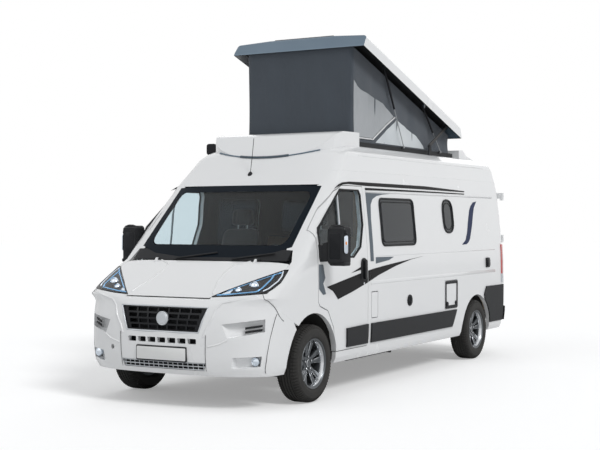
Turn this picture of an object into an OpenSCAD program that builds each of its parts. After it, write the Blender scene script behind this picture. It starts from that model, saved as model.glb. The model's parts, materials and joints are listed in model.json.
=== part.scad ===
// Camper van with a raised pop-up roof: x to the vehicle's left, y to the rear, z up.
// The origin lies on the ground, under the middle of the vehicle.

/* [Vehicle] */
// Overall length over the bumpers
body_l = 5998; // [5960:1:6040]
// Width over the body sides
body_w = 2010; // [1994:1:2026]
// Distance between the axles
wheelbase = 4035; // [4020:1:4050]
// Front axle behind the foremost point
front_overhang = 948; // [938:1:958]
// Thickness of the lined body walls
wall = 45; // [40:1:50]
// Thickness of the hinged doors
door_t = 56; // [50:1:60]
// Thickness of the bonnet
bonnet_t = 24; // [18:1:30]
// Gap between neighbouring panels
seam = 6; // [5:1:8]
// Thickness of the glass
glass_t = 10; // [7:1:14]
// Height of the floor's top face
floor_z = 560; // [550:1:570]
// Lower edge of the living space's windows
sill_z = 1380; // [1370:1:1390]

/* [Wheels] */
// Tyre diameter
tyre_d = 702; // [690:1:712]
// Tyre width
tyre_w = 225; // [205:1:235]
// Rim diameter at the bead
rim_d = 432; // [420:1:444]
// Front track
track_f = 1810; // [1790:1:1820]
// Rear track
track_r = 1790; // [1770:1:1800]
// Wheel arch radius
arch_r = 455; // [448:1:462]
// Twin spokes in a wheel
spoke_pairs = 5; // [4:1:6]

/* [Pop-up roof] */
// Length of the roof shell along its slope
shell_l = 2752; // [2730:1:2764]
// Width of the roof shell
shell_w = 1564; // [1550:1:1580]
// Height of the shell at its front
shell_h = 140; // [134:1:150]
// Slope of the raised shell, degrees
shell_tilt = 16.6; // [15.6:0.1:17.2]
// Length of the rear lift arms between pivots
arm_l = 620; // [610:1:630]
// Slope of the raised lift arms, degrees
arm_tilt = 25.7; // [24:0.1:27]

/* [Hidden] */
$fn = 48;

nose_y = -body_l / 2;
tail_y = body_l / 2;
half_w = body_w / 2;
front_axle_y = nose_y + front_overhang;
rear_axle_y = front_axle_y + wheelbase;
wheel_r = tyre_d / 2;
axle_z = wheel_r;
// Far plane that closes cuts on the outside
far = 1400;
// Play where two pieces meet face to face
touch = 0.3;

// Body sections from the ground up: height, inset from the widest side, nose setback, depth of the
// front corner,
// exponent of the front corner, tail setback
S_Z = 0;
S_INSET = 1;
S_NOSE = 2;
S_DEPTH = 3;
S_POWER = 4;
S_TAIL = 5;
sections = [
    [300, 45, 49, 520, 3.0, 44],
    [360, 20, 19, 540, 3.0, 36],
    [480, 7, 3, 550, 3.0, 34],
    [620, 2, 0, 550, 3.0, 34],
    [800, 0, 9, 550, 3.0, 34],
    [900, 0, 34, 540, 3.0, 34],
    [950, 0, 59, 500, 3.6, 34],
    [970, 0, 99, 450, 4.6, 34],
    [1030, 0, 199, 420, 5.0, 34],
    [1120, 1, 379, 370, 4.8, 34],
    [1200, 3, 539, 300, 5.0, 34],
    [1270, 5, 693, 280, 5.0, 34],
    [1400, 13, 829, 260, 5.0, 36],
    [1600, 30, 1038, 260, 5.0, 38],
    [1800, 51, 1246, 260, 4.5, 41],
    [1975, 70, 1429, 260, 4.5, 46],
    [2130, 102, 1591, 260, 4.0, 56],
    [2270, 137, 1737, 270, 4.0, 72],
    [2330, 170, 1809, 290, 3.5, 88],
    [2380, 235, 1899, 320, 3.0, 120],
    [2420, 385, 2019, 330, 2.8, 170],
    [2445, 625, 2139, 330, 2.6, 240]
];
tail_corner_r = 130;
nose_steps = 8;
tail_steps = 4;

// Front outline of a section, angle 0 at the nose and 90 at the side
function front_point(s, inset, a) = let (
        w = half_w - s[S_INSET] - inset,
        depth = s[S_DEPTH] - inset,
        e = 2 / s[S_POWER],
        y_side = nose_y + s[S_NOSE] + s[S_DEPTH]
    ) [sign(a) * w * pow(abs(sin(a)), e), y_side - depth * pow(abs(cos(a)), e), s[S_Z] - inset];
function tail_point(s, inset, side, a) = let (
        r = tail_corner_r,
        w = half_w - s[S_INSET] - inset,
        y = tail_y - s[S_TAIL] - inset
    ) [side * (w - r + r * cos(a)), y - r + r * sin(a), s[S_Z] - inset];
function ring(s, inset) = concat(
    [for (i = [-nose_steps:nose_steps]) front_point(s, inset, 90 * i / nose_steps)],
    [for (side = [-1, 1], i = [0:tail_steps]) tail_point(s, inset, side, 90 * i / tail_steps)]);
// Half width of the body at a height
function side_x(z) = lookup(z, [for (s = sections) [s[S_Z], half_w - s[S_INSET]]]);
// Middle of the nose at a height
function nose_at(z) = lookup(z, [for (s = sections) [s[S_Z], nose_y + s[S_NOSE]]]);

// Loft through the sections, moved in by inset
module loft(inset) {
    for (i = [0:len(sections) - 2]) {
        low = ring(sections[i], inset);
        high = ring(sections[i + 1], inset);
        hull() polyhedron(points = concat(low, high), faces = [[for (k = [0:2 * len(low) - 1]) k]]);
    }
}
module layer(outer, inner) {
    difference() {
        loft(outer);
        loft(inner);
    }
}

// Prisms from outlines seen from the side, from the front and from above
module side_prism(points, x0, x1) {
    translate([x0, 0, 0]) rotate([90, 0, 90]) linear_extrude(x1 - x0) polygon(points);
}
module front_prism(points, y0, y1) {
    translate([0, y1, 0]) rotate([90, 0, 0]) linear_extrude(y1 - y0) polygon(points);
}
module top_prism(points, z0, z1) {
    translate([0, 0, z0]) linear_extrude(z1 - z0) polygon(points);
}
module left_prism(points) side_prism(points, 300, far);
module right_prism(points) side_prism(points, -far, -300);
module box(low, high) {
    translate(low) cube(high - low);
}
module both_sides() {
    children();
    mirror([1, 0, 0]) children();
}
module rod(a, b, r) {
    d = b - a;
    translate(a) rotate([0, acos(d[2] / norm(d)), atan2(d[1], d[0])]) cylinder(h = norm(d), r = r);
}
module cross_cylinder(x0, x1, y, z, r) {
    translate([x0, y, z]) rotate([0, 90, 0]) cylinder(h = x1 - x0, r = r);
}

// Rectangle with rounded corners, between two opposite corners
corner_steps = 3;
function round_rect(a0, b0, a1, b1, r) = [for (c = [[a1 - r, b1 - r, 0], [a0 + r, b1 - r, 90],
    [a0 + r, b0 + r, 180], [a1 - r, b0 + r, 270]],
    i = [0:corner_steps]) let (t = c[2] + 90 * i / corner_steps) [c[0] + r * cos(t),
    c[1] + r * sin(t)]];
function grown_rect(w, g) = round_rect(w[0] - g, w[2] - g, w[1] + g, w[3] + g, w[4] + g);
// Outline moved away from its middle
function average(points, k) = [for (p = points) p[k]] * [for (p = points) 1 / len(points)];
function grown(points, g) = let (c = [average(points, 0),
    average(points, 1)]) [for (p = points) p + g * (p - c) / norm(p - c)];

// Panel outlines, seen from the side
door_rear_y = front_axle_y + 1101;
door_front_y = front_axle_y + 91;
door_top_z = 1975;
door_low_z = 420;
door_outline = [[door_rear_y, door_low_z], [door_rear_y, door_top_z], [door_front_y + 590, door_top_z],
    [door_front_y + 441, 1913], [door_front_y + 54, 1629], [door_front_y, 1580], [door_front_y, 900],
    [door_front_y + 30, 865], [door_front_y + 182, 815], [door_front_y + 296, 650],
    [door_front_y + 341, door_low_z]];
door_window = [[door_rear_y - 50, 1600], [door_rear_y - 50, 1890], [door_rear_y - 80, 1936],
    [door_rear_y - 470, 1936],
    [door_front_y + 446, 1868], [door_front_y + 62, 1575], [door_front_y + 40, 1530],
    [door_front_y + 40, 1400],
    [door_front_y + 80, 1315], [door_rear_y - 290, 1290], [door_rear_y - 130, 1385]];
// Line between the windscreen pillar and the door, seen from the front
pillar = [[900, 1345], [862, 1980]];
function door_side(gap) = [[300, 300], [far, 300], [far, 2100], pillar[1] - [gap, 0],
    pillar[0] - [gap, 0], [300, 1345]];
// Front lower edge of the door at a height
function door_low_edge(z) = lookup(z, [[door_low_z, door_outline[10][0]],
    [door_outline[9][1], door_outline[9][0]]]);
post_rear_y = door_rear_y + 60;
slide_front_y = post_rear_y + 14;
slide_rear_y = slide_front_y + 1230;
slide_z = [430, 1955];
wing_seam = [[nose_y + 193, 1012], [nose_y + 386, 850], [nose_y + 586, 747]];
roof_seam_z = 2125;
// Seam between the cab frame and the wings and cowl below it
cab_seam = [[door_front_y - 250, 1388], [door_front_y - 100, 1330], [door_front_y - 10, 1250]];

// Windows of the living space: front edge, rear edge, lower edge, upper edge, corner radius
window_main = [door_rear_y + 340, door_rear_y + 1190, sill_z, 1875, 70];
window_small = [rear_axle_y - 970, rear_axle_y - 660, sill_z + 120, 1885, 120];
window_slide = [slide_front_y + 190, slide_rear_y - 190, sill_z, 1875, 70];
window_right = [slide_rear_y + 330, slide_rear_y + 1030, sill_z + 120, 1875, 70];
// Hatches in the left side: front edge, rear edge, lower edge, upper edge, corner radius
hatch = [rear_axle_y - 980, rear_axle_y - 620, 655, 962, 16];
flap = [door_rear_y + 85, door_rear_y + 220, 685, 934, 10];
// The pockets keep their hatch's corner radius, so that the open hatch clears their corners
pocket_depth = 32;
hatch_gap = 9;
function pocket_outline(h) = round_rect(h[0] - hatch_gap, h[2] - hatch_gap, h[1] + hatch_gap,
    h[3] + hatch_gap, h[4]);
hatch_pin_r = 2.5;
flap_axis = [half_w - 7, flap[0] + 7];
hatch_axis = [half_w - 7, hatch[3] - 8];

// Front outlines, seen from the front
lamp_outline = [[452, 978], [620, 1068], [half_w - 100, 1203], [half_w - 70, 1207],
    [half_w - 50, 1098], [half_w - 80, 1012], [620, 985]];
bonnet_outline = [[-438, 968], [438, 968], [620, 1070], [half_w - 100, 1205], [half_w - 120, 1268],
    [-half_w + 120, 1268],
    [-half_w + 100, 1205], [-620, 1070]];
bumper_top = [[-far, 1012 - touch], [-half_w + 80, 1012 - touch], [-620, 985 - touch],
    [-452, 978 - touch], [-452, 962], [452, 962], [452, 978 - touch],
    [620, 985 - touch], [half_w - 80, 1012 - touch], [far, 1012 - touch]];
grille_outline = [[-460, 888], [-380, 675], [380, 675], [460, 888]];
screen_outline = [[-806, 1970], [-830, 1400], [-620, 1335], [-300, 1302], [300, 1302], [620, 1335],
    [830, 1400], [806, 1970], [420, 1985], [-420, 1985]];
cowl_y = nose_at(1272);

// Wheel houses, wide enough for a steered wheel
house_r = arch_r + 15;
house_x = 550;
module front_house(r, x0) cross_cylinder(x0, far, front_axle_y, axle_z, r);
module rear_house(r, x0) cross_cylinder(x0, far, rear_axle_y, axle_z - 40, r);
module wheel_houses(r) both_sides() {
    front_house(r, house_x);
    rear_house(r, house_x + 90);
}

// Underbody

floor_t = 50;
rail_x = 440;
rail_w = 80;
rail_h = 110;
rail_z = floor_z - floor_t - rail_h;
hitch_y = tail_y - 430;
hitch_pitch = 200;
hitch_r = 7;
tow_x = -560;
tow_z = 510;
tow_r = 11;
beam_y = nose_y + 140;
beam_t = 70;
jack_y = [front_axle_y + 750, rear_axle_y - 750];
module chassis() color("dimgray") difference() {
    union() {
        both_sides() {
            box([rail_x, beam_y + beam_t / 2, rail_z],
                [rail_x + rail_w, tail_y - 190, rail_z + rail_h - touch]);
            // jack pads below the sills
            for (y = jack_y) {
                box([rail_x + rail_w / 2, y - 40, rail_z + 20],
                    [half_w - 170, y + 40, rail_z + rail_h - 20]);
                box([rail_x + rail_w + 140, y - 60, rail_z - 10],
                    [half_w - 150, y + 60, rail_z + rail_h - touch]);
            }
        }
        box([-rail_x - 10, hitch_y - 150, rail_z + 10],
            [rail_x + 10, hitch_y - 70, rail_z + rail_h - 10]);
        // bumper beam with the towing eye's socket
        box([-700, beam_y, tow_z - 60], [700, beam_y + beam_t, tow_z + 60]);
    }
    wheel_houses(house_r);
    translate([tow_x, beam_y - 1, tow_z]) rotate([-90, 0, 0]) cylinder(h = beam_t + 2, r = tow_r);
    for (y = [hitch_y, hitch_y + hitch_pitch]) both_sides()
        translate([rail_x + rail_w / 2, y, rail_z - 1]) cylinder(h = 41, r = hitch_r);
}
fire_y = front_axle_y + 96;
fire_t = 30;
// Half width of the wall before the cab, clear of the swinging doors
fire_half = half_w - door_t - 24;
module floor_pan() color("dimgray") intersection() {
    difference() {
        union() {
            box([-far, fire_y, floor_z - floor_t], [far, tail_y - 180, floor_z]);
            box([-fire_half, fire_y, floor_z - floor_t], [fire_half, fire_y + fire_t, 1240]);
        }
        wheel_houses(house_r);
    }
    loft(door_t + touch);
    loft(wall + touch);
}
liner_t = 5;
module wheel_liners() color("black") both_sides() intersection() {
    difference() {
        union() {
            front_house(house_r - touch, house_x);
            rear_house(house_r - touch, house_x + 90);
        }
        front_house(house_r - liner_t, 0);
        rear_house(house_r - liner_t, 0);
        box([0, nose_y, 0], [far, tail_y, axle_z]);
        box([0, front_axle_y + 100, 0], [far, front_axle_y + 600, axle_z + 60]);
        // room for the strut
        rod(on_pin(0.5), on_pin(1.1), 48);
    }
    loft(door_t + 8);
}
engine_low = [-330, front_axle_y - 560, 440];
engine_high = [330, front_axle_y - 110, 1020];
module engine_block() color("gray") {
    block();
    radiator();
}
module block() difference() {
    union() {
        box(engine_low, engine_high);
        // mounts on the chassis rails
        box([-rail_x + touch, front_axle_y - 320, rail_z + 20],
            [rail_x - touch, front_axle_y - 240, rail_z + rail_h]);
    }
    front_prism([[-far, 900], [-far, 1300], [far, 1300], [far, 900]], nose_y, front_axle_y - 400);
}
radiator_y = beam_y + 15;
module radiator() box([-420, radiator_y, tow_z + 60 + touch], [420, radiator_y + 45, 890]);

// Front suspension: the kingpin runs from the lower ball joint to the strut's top
pin_low = [790, front_axle_y, 240];
pin_top = [620, front_axle_y, 930];
ball_r = 9;
function on_pin(t) = pin_low + (pin_top - pin_low) * t;
module front_suspension() color("black") both_sides() {
    // half of the subframe, hung from the rails
    box([0, front_axle_y - 130, 240], [rail_x + 20, front_axle_y + 130, 300]);
    for (y = [-80, 80]) box([rail_x - 40, front_axle_y + y - 35, 290],
        [rail_x + 20, front_axle_y + y + 35, rail_z - touch]);
    // lower arm
    hull() {
        for (y = [-100, 100]) translate([rail_x - 20, front_axle_y + y, 250]) cylinder(h = 26, r = 22);
        translate([pin_low[0] + 4, front_axle_y, 196]) cylinder(h = 24, r = 26);
    }
    // ball stud that carries the knuckle, on the kingpin's axis
    rod(on_pin(-0.06), on_pin(0.06), ball_r);
    // strut tower
    box([rail_x + rail_w - 26, front_axle_y - 70, rail_z + rail_h],
        [rail_x + rail_w, front_axle_y + 70, 960]);
    box([rail_x + rail_w - 26, front_axle_y - 70, pin_top[2] + 5], [690, front_axle_y + 70, 960]);
}
hub_face = 30;
stub_r = 24;
disc_r = 150;
module knuckle() {
    difference() {
        rod(on_pin(0), on_pin(0.32), 30);
        rod(on_pin(-0.02), on_pin(0.07), ball_r + touch);
    }
    rod(on_pin(0.3), on_pin(0.74), 27);
    rod(on_pin(0.72), on_pin(1), 15);
    cross_cylinder(pin_low[0] - 50, track_f / 2 - hub_face, front_axle_y, axle_z, 58);
    cross_cylinder(track_f / 2 - hub_face - 26, track_f / 2 - hub_face, front_axle_y, axle_z, disc_r);
    cross_cylinder(track_f / 2 - hub_face - 10, track_f / 2 + 30, front_axle_y, axle_z, stub_r);
}
module knuckle_left() color("darkgray") knuckle();
module knuckle_right() color("darkgray") mirror([1, 0, 0]) knuckle();
module rear_axle() color("black") {
    leaf_springs();
    cross_cylinder(-track_r / 2 - 30, track_r / 2 + 30, rear_axle_y, axle_z, stub_r);
    cross_cylinder(-track_r / 2 + hub_face, track_r / 2 - hub_face, rear_axle_y, axle_z, 48);
    both_sides() cross_cylinder(track_r / 2 - hub_face - 26, track_r / 2 - hub_face, rear_axle_y,
        axle_z, disc_r);
}
spring_x = 560;
spring_half = 640;
spring_rise = 70;
leaf_t = 16;
spring_r = (spring_half * spring_half + spring_rise * spring_rise) / (2 * spring_rise);
module leaf_springs() both_sides() {
    // parabolic leaf between its two hangers, clamped under the axle
    intersection() {
        difference() {
            cross_cylinder(spring_x - 35, spring_x + 35, rear_axle_y, axle_z - 48 - touch + spring_r,
                spring_r + leaf_t, $fn = 240);
            cross_cylinder(spring_x - 36, spring_x + 36, rear_axle_y, axle_z - 48 - touch + spring_r,
                spring_r, $fn = 240);
        }
        box([0, rear_axle_y - spring_half, 100], [far, rear_axle_y + spring_half, axle_z + 60]);
    }
    for (e = [-1, 1]) box([spring_x - 35, rear_axle_y + e * spring_half - 22, axle_z - 20],
        [spring_x + 35, rear_axle_y + e * spring_half + 22, floor_z - floor_t - touch]);
}
tank_z = [240, floor_z - floor_t - touch];
module tanks() color("dimgray") {
    box([-rail_x + 20, front_axle_y + 1500, tank_z[0]], [rail_x - 20, front_axle_y + 2350, tank_z[1]]);
    box([rail_x + rail_w + 20, front_axle_y + 1050, tank_z[0] + 20],
        [half_w - 210, front_axle_y + 1950, tank_z[1]]);
    // drain pipe of the waste water tank
    cross_cylinder(half_w - 230, half_w - 110, front_axle_y + 1850, tank_z[0] + 60, 28);
}
exhaust_x = -640;
module exhaust() color("gray") {
    rod([exhaust_x, front_axle_y + 700, 350], [exhaust_x, front_axle_y + 1600, 350], 28);
    rod([exhaust_x, front_axle_y + 1590, 350], [exhaust_x, front_axle_y + 2200, 350], 90);
    rod([exhaust_x, front_axle_y + 2190, 350], [exhaust_x - 110, front_axle_y + 2620, 330], 28);
    for (y = [820, 1900]) box([exhaust_x - 12, front_axle_y + y, 360],
        [exhaust_x + 12, front_axle_y + y + 30, floor_z - floor_t - touch]);
}

// Wheels

groove = [9, 10];
module tyre(x, y) color("black") translate([x, y, axle_z]) rotate([0, 90,
    0]) rotate_extrude($fn = 72) difference() {
    b = rim_d / 2;
    h = tyre_w / 2;
    polygon([[b + 2, -h + 26], [b + 14, -h + 12], [b + 50, -h], [wheel_r - 60, -h + 2],
        [wheel_r - 24, -h + 14], [wheel_r - 6, -h + 32], [wheel_r, -h + 56],
        [wheel_r, h - 56], [wheel_r - 6, h - 32], [wheel_r - 24, h - 14], [wheel_r - 60, h - 2],
        [b + 50, h], [b + 14, h - 12], [b + 2, h - 26],
        [b + 2, h - 50], [b + 40, h - 70], [b + 40, -h + 70], [b + 2, -h + 50]]);
    for (g = [-45, -15, 15, 45]) translate([wheel_r - groove[0],
        g - groove[1] / 2]) square([groove[0] + 1, groove[1]]);
}
module tyre_front_left() tyre(track_f / 2, front_axle_y);
module tyre_front_right() tyre(-track_f / 2, front_axle_y);
module tyre_rear_left() tyre(track_r / 2, rear_axle_y);
module tyre_rear_right() tyre(-track_r / 2, rear_axle_y);
rim_face = 50;
lug_circle_r = 59;
module rim(x, y, out) color("dimgray") translate([x, y, axle_z]) rotate([0, 90 * out, 0]) {
    r = rim_d / 2;
    h = tyre_w / 2 - 26;
    rotate_extrude($fn = 72) polygon([[r - 16, -h], [r + 2 - touch, -h], [r + 2 - touch, -h + 24],
        [r - 10, -h + 40], [r - 10, h - 40], [r + 2 - touch, h - 24], [r + 2 - touch, h],
        [r + 13, h + 13], [r + 9, h + 17], [r - 8, h + 10], [r - 24, h - 30], [r - 24, -h + 40]]);
    // hub with its bore for the stub axle
    difference() {
        translate([0, 0, -hub_face + touch]) cylinder(h = hub_face + rim_face, r = 76);
        translate([0, 0, -hub_face]) cylinder(h = hub_face + 32, r = stub_r + touch);
        for (k = [0:4]) rotate(72 * k) translate([lug_circle_r, 0, rim_face - 20]) cylinder(h = 30,
            r = 11);
    }
    // twin spokes that spread to the rim
    for (k = [0:spoke_pairs - 1], side = [-1, 1]) rotate(360 / spoke_pairs * k
        + side * 90 / spoke_pairs)
        translate([0, 0, 12]) linear_extrude(rim_face - 20) polygon([[60, -17], [r - 16, -24],
            [r - 16, 24], [60, 17]]);
}
module rim_front_left() rim(track_f / 2, front_axle_y, 1);
module rim_front_right() rim(-track_f / 2, front_axle_y, -1);
module rim_rear_left() rim(track_r / 2, rear_axle_y, 1);
module rim_rear_right() rim(-track_r / 2, rear_axle_y, -1);

// Front end

slot_n = 7;
slot_pitch = 106;
slot_z = [574, 620];
module bumper_region() intersection() {
    side_prism([[nose_y - 50, 250], [front_axle_y - 100, 250], wing_seam[2] + [60, -80], wing_seam[2],
        wing_seam[1], wing_seam[0], [nose_y + 193, 1100], [nose_y - 50, 1100]], -far, far);
    front_prism(concat([[far, 250], [-far, 250]], bumper_top), nose_y - 50, front_axle_y);
}
module front_bumper() color("white") difference() {
    intersection() {
        layer(0, wall);
        bumper_region();
    }
    both_sides() front_house(arch_r, house_x);
    // air openings: grille, row of slots, lower grille, side intakes, lamp recesses
    front_prism(grille_outline, nose_y - 50, nose_y + 300);
    for (k = [0:slot_n - 1]) let (x = slot_pitch * (k - (slot_n - 1) / 2))
        front_prism(round_rect(x - slot_pitch / 2 + 8, slot_z[0], x + slot_pitch / 2 - 8, slot_z[1],
            8), nose_y - 50, nose_y + 300);
    front_prism([[-450, 415], [-430, 345], [430, 345], [450, 415]], nose_y - 50, nose_y + 300);
    both_sides() {
        front_prism([[595, 752], [650, 632], [925, 688], [925, 796]], nose_y - 50, nose_y + 330);
        front_prism([[676, 385], [700, 372], [890, 392], [905, 480], [690, 468]], nose_y - 50,
            nose_y + 330);
    }
    translate([tow_x, nose_y - 50, tow_z]) rotate([-90, 0, 0]) cylinder(h = 300, r = 2 * tow_r);
}
bar_rows = 4;
bar_pitch = 50;
bar_gap = 34;
module grille() color("black") difference() {
    // bars with upright dividers, set back in the bumper's opening
    intersection() {
        layer(14, 34);
        front_prism(grown(grille_outline, -touch), nose_y - 50, nose_y + 300);
    }
    for (row = [0:bar_rows - 1], col = [-3:3]) let (z = 690 + row * bar_pitch, w = 700 + row * 34)
        front_prism([for (p = [[-0.5, 0], [0.5, 0], [0.5, 1],
            [-0.5, 1]]) [(col + p[0] * 0.86) * w / 7, z + p[1] * bar_gap]], nose_y - 50, nose_y + 300);
}
module headlamps() color("lightblue") both_sides() intersection() {
    layer(0, wall);
    front_prism(lamp_outline, nose_y, front_axle_y);
    box([300, nose_y, 900], [far, front_axle_y - 200, 1300]);
}
sill_front_y = door_front_y + 330;
module wings() color("white") both_sides() {
    wing();
    door_pin(pivot_r, 864, 904);
}
module wing() difference() {
    intersection() {
        layer(0, wall);
        // from the bumper's seam along the door's edge to the sill
        left_prism([wing_seam[0] + [touch, 2 * touch], wing_seam[1] + [touch, touch],
            wing_seam[2] + [touch, touch], [front_axle_y, 600],
            [door_low_edge(500) - seam - 2, 500], [door_low_edge(560) - seam - 2, 560],
            door_outline[9] + [-seam - 2, -seam], door_outline[8] + [-seam, -seam - 2],
            door_outline[7] + [-seam, -seam - 4],
            [door_front_y - door_gap_y, 895], cab_seam[2], cab_seam[1], cab_seam[0],
            [nose_y + 700, 1388], [nose_y + 193, 1210]]);
    }
    front_prism(grown(lamp_outline, touch), nose_y, front_axle_y - 200);
    front_prism([[0, 900], [445, 960], [626, 1062], [half_w - 92, 1196], [half_w - 112, 1274],
        [846, 1390], [0, 1390]], nose_y, front_axle_y);
    front_house(arch_r, house_x);
}
// Pivots of the cab doors: an upright pin on the wing's ledge, in a bore of the door
door_gap_y = 10;
door_pivot = [half_w - 10, door_front_y + 10];
pivot_r = 4;
module door_pin(r, z0, z1) translate([door_pivot[0], door_pivot[1], z0]) cylinder(h = z1 - z0, r = r,
    $fn = 24);
module bonnet() color("white") {
    bonnet_skin();
    both_sides() difference() {
        hinge_leaf(bonnet_hinge_x - knuckle_w, bonnet_axis + [-34, -32]);
        bonnet_pin(4 + touch);
    }
}
module bonnet_skin() intersection() {
    layer(0, bonnet_t);
    front_prism([for (p = bonnet_outline) p + [0, p[1] > 1250 ? 0 : seam / 2]], nose_y, cowl_y);
}
// Bonnet hinges: a knuckle on the bonnet turns on a pin of the cowl's knuckle
bonnet_axis = [cowl_y + 1, 1285];
bonnet_hinge_x = 560;
knuckle_r = 8;
knuckle_w = 24;
module hinge_leaf(x, to) hull() {
    cross_cylinder(x, x + knuckle_w, bonnet_axis[0], bonnet_axis[1], knuckle_r);
    translate([x, to[0] - 4, to[1] - 4]) cube([knuckle_w, 8, 8]);
}
module bonnet_pin(r) cross_cylinder(bonnet_hinge_x - 2 * knuckle_w + 4, bonnet_hinge_x + 4,
    bonnet_axis[0], bonnet_axis[1], r);
module cowl() color("black") {
    difference() {
        intersection() {
        layer(0, wall);
        front_prism([[-846 + touch, 1278], [846 - touch, 1278], [846 - touch, 1388],
            [800 - touch, 1388], [620, 1335 - touch], [300, 1302 - touch],
            [-300, 1302 - touch], [-620, 1335 - touch], [-800 + touch, 1388], [-846 + touch, 1388]],
            cowl_y - 20, front_axle_y + 100);
        }
        side_prism(concat(cab_seam, [cab_seam[2] + [200, 0],
            [cab_seam[2][0] + 200, cab_seam[0][1] + 20], cab_seam[0] + [0, 20]]), -far, far);
    }
    both_sides() {
        hinge_leaf(bonnet_hinge_x + touch, [nose_at(1292) + 16, 1290]);
        bonnet_pin(4);
    }
}

// Cab

module windscreen() color("lightblue") intersection() {
    layer(0, glass_t);
    front_prism(screen_outline, nose_y, front_axle_y + 700);
    box([-far, cowl_y, 1200], [far, front_axle_y + 700, 2100]);
}
door_gap = [for (p = door_outline) [p[0] + (p[0] > door_rear_y - 1
    ? seam : (p[0] < door_front_y + 1 ? -door_gap_y : -seam)),
    p[1] + (p[1] > 1500 ? seam : (p[1] < 880 ? -seam : 0))]];
module cab_frame() color("white") difference() {
    intersection() {
        layer(0, wall);
        union() {
            // windscreen pillars and rails over the doors
            side_prism([[door_front_y - 260, 1388 + touch], cab_seam[0] + [0, touch],
                cab_seam[1] + [0, touch], cab_seam[2] + [0, touch], [door_front_y + 20, 1256],
                [door_front_y + 20, 1500], [door_rear_y, 1800],
                [post_rear_y, 1800], [post_rear_y, roof_seam_z], [front_axle_y + 300, roof_seam_z],
                [front_axle_y + 200, 2000]], -far, far);
            // sills under the doors and posts behind them
            side_prism([[sill_front_y, 310], [post_rear_y, 310], [post_rear_y, 1900],
                [door_rear_y - 30, 1900], [door_rear_y - 30, 560], [sill_front_y, 560]], -far, far);
        }
    }
    both_sides() intersection() {
        left_prism(door_gap);
        front_prism(door_side(seam), nose_y, 0);
    }
    front_prism(grown(screen_outline, touch), nose_y, front_axle_y + 900);
    front_prism([[-800, 1200], [800, 1200], [760, 1980], [780, 1985], [814, 2135], [830, 2200],
        [-830, 2200], [-814, 2135], [-780, 1985], [-760, 1980]], nose_y, post_rear_y + 1);
    both_sides() front_house(arch_r, house_x);
}
wiper_r = 8;
module wipers() color("black") difference() {
    wiper_arms();
    loft(-touch);
}
module wiper_arms() for (x = [-330, 290]) {
    // pivot, arm and blade along the glass
    low = [x, nose_at(1290) - 12, 1290];
    high = [x + 420, nose_at(1345) - 12, 1345];
    rod(low + [0, 40, -34], low, 14);
    rod(low, high, wiper_r);
}
module cab_door() color("white") difference() {
    union() {
        intersection() {
            layer(0, door_t);
            left_prism(door_outline);
            front_prism(door_side(0), nose_y, 0);
        }
        // lower moulding carried on from the side
        intersection() {
            layer(-moulding_t, 10);
            left_prism([[door_rear_y - 462, moulding_z[1] - 10], [door_rear_y - 450, moulding_z[0]],
                [door_rear_y - 7, moulding_z[0]], [door_rear_y - 7, moulding_z[1]]]);
        }
    }
    left_prism(door_window);
    front_house(house_r - 10, house_x);
    door_pin(pivot_r + touch, 700, 910);
}
module cab_door_left() cab_door();
module cab_door_right() mirror([1, 0, 0]) cab_door();
glass_back = 22;
module door_glass() color("lightblue") intersection() {
    layer(glass_back, glass_back + glass_t);
    left_prism(grown(door_window, -touch));
    front_prism(door_side(-seam), nose_y, 0);
}
module door_glass_left() door_glass();
module door_glass_right() mirror([1, 0, 0]) door_glass();
mirror_y = [front_axle_y + 110, front_axle_y + 240];
mirror_z = [1236, 1592];
mirror_x = [half_w + 60, half_w + 249];
mirror_foot_z = [1296, 1420];
module door_mirror() color("black") difference() {
    union() {
        // head with a glass recess, and its foot on the door
        difference() {
            hull() {
                for (x = [mirror_x[0] + 36, mirror_x[1] - 36],
                    z = [mirror_z[0] + 36, mirror_z[1] - 36]) {
                    translate([x, mirror_y[0] + 45, z]) rotate([-90, 0,
                        0]) cylinder(h = mirror_y[1] - mirror_y[0] - 45, r = 36, $fn = 24);
                    translate([x, mirror_y[0], z]) rotate([-90, 0, 0]) cylinder(h = 20, r = 14,
                        $fn = 24);
                }
            }
            front_prism(round_rect(mirror_x[0] + 14, mirror_z[0] + 112, mirror_x[1] - 14,
                mirror_z[1] - 14, 24), mirror_y[1] - 12, mirror_y[1] + 10);
            front_prism(round_rect(mirror_x[0] + 14, mirror_z[0] + 14, mirror_x[1] - 14,
                mirror_z[0] + 100, 24), mirror_y[1] - 12, mirror_y[1] + 10);
        }
        hull() {
            box([half_w - 30, mirror_y[0], mirror_foot_z[0]],
                [half_w - 8, mirror_y[0] + 90, mirror_foot_z[1]]);
            box([mirror_x[0] + 2, mirror_y[0] + 45, mirror_foot_z[0] + 10],
                [mirror_x[0] + 30, mirror_y[0] + 105, mirror_foot_z[1] - 20]);
        }
    }
    loft(-touch);
}
module mirror_left() door_mirror();
module mirror_right() mirror([1, 0, 0]) door_mirror();

// Living space

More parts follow.
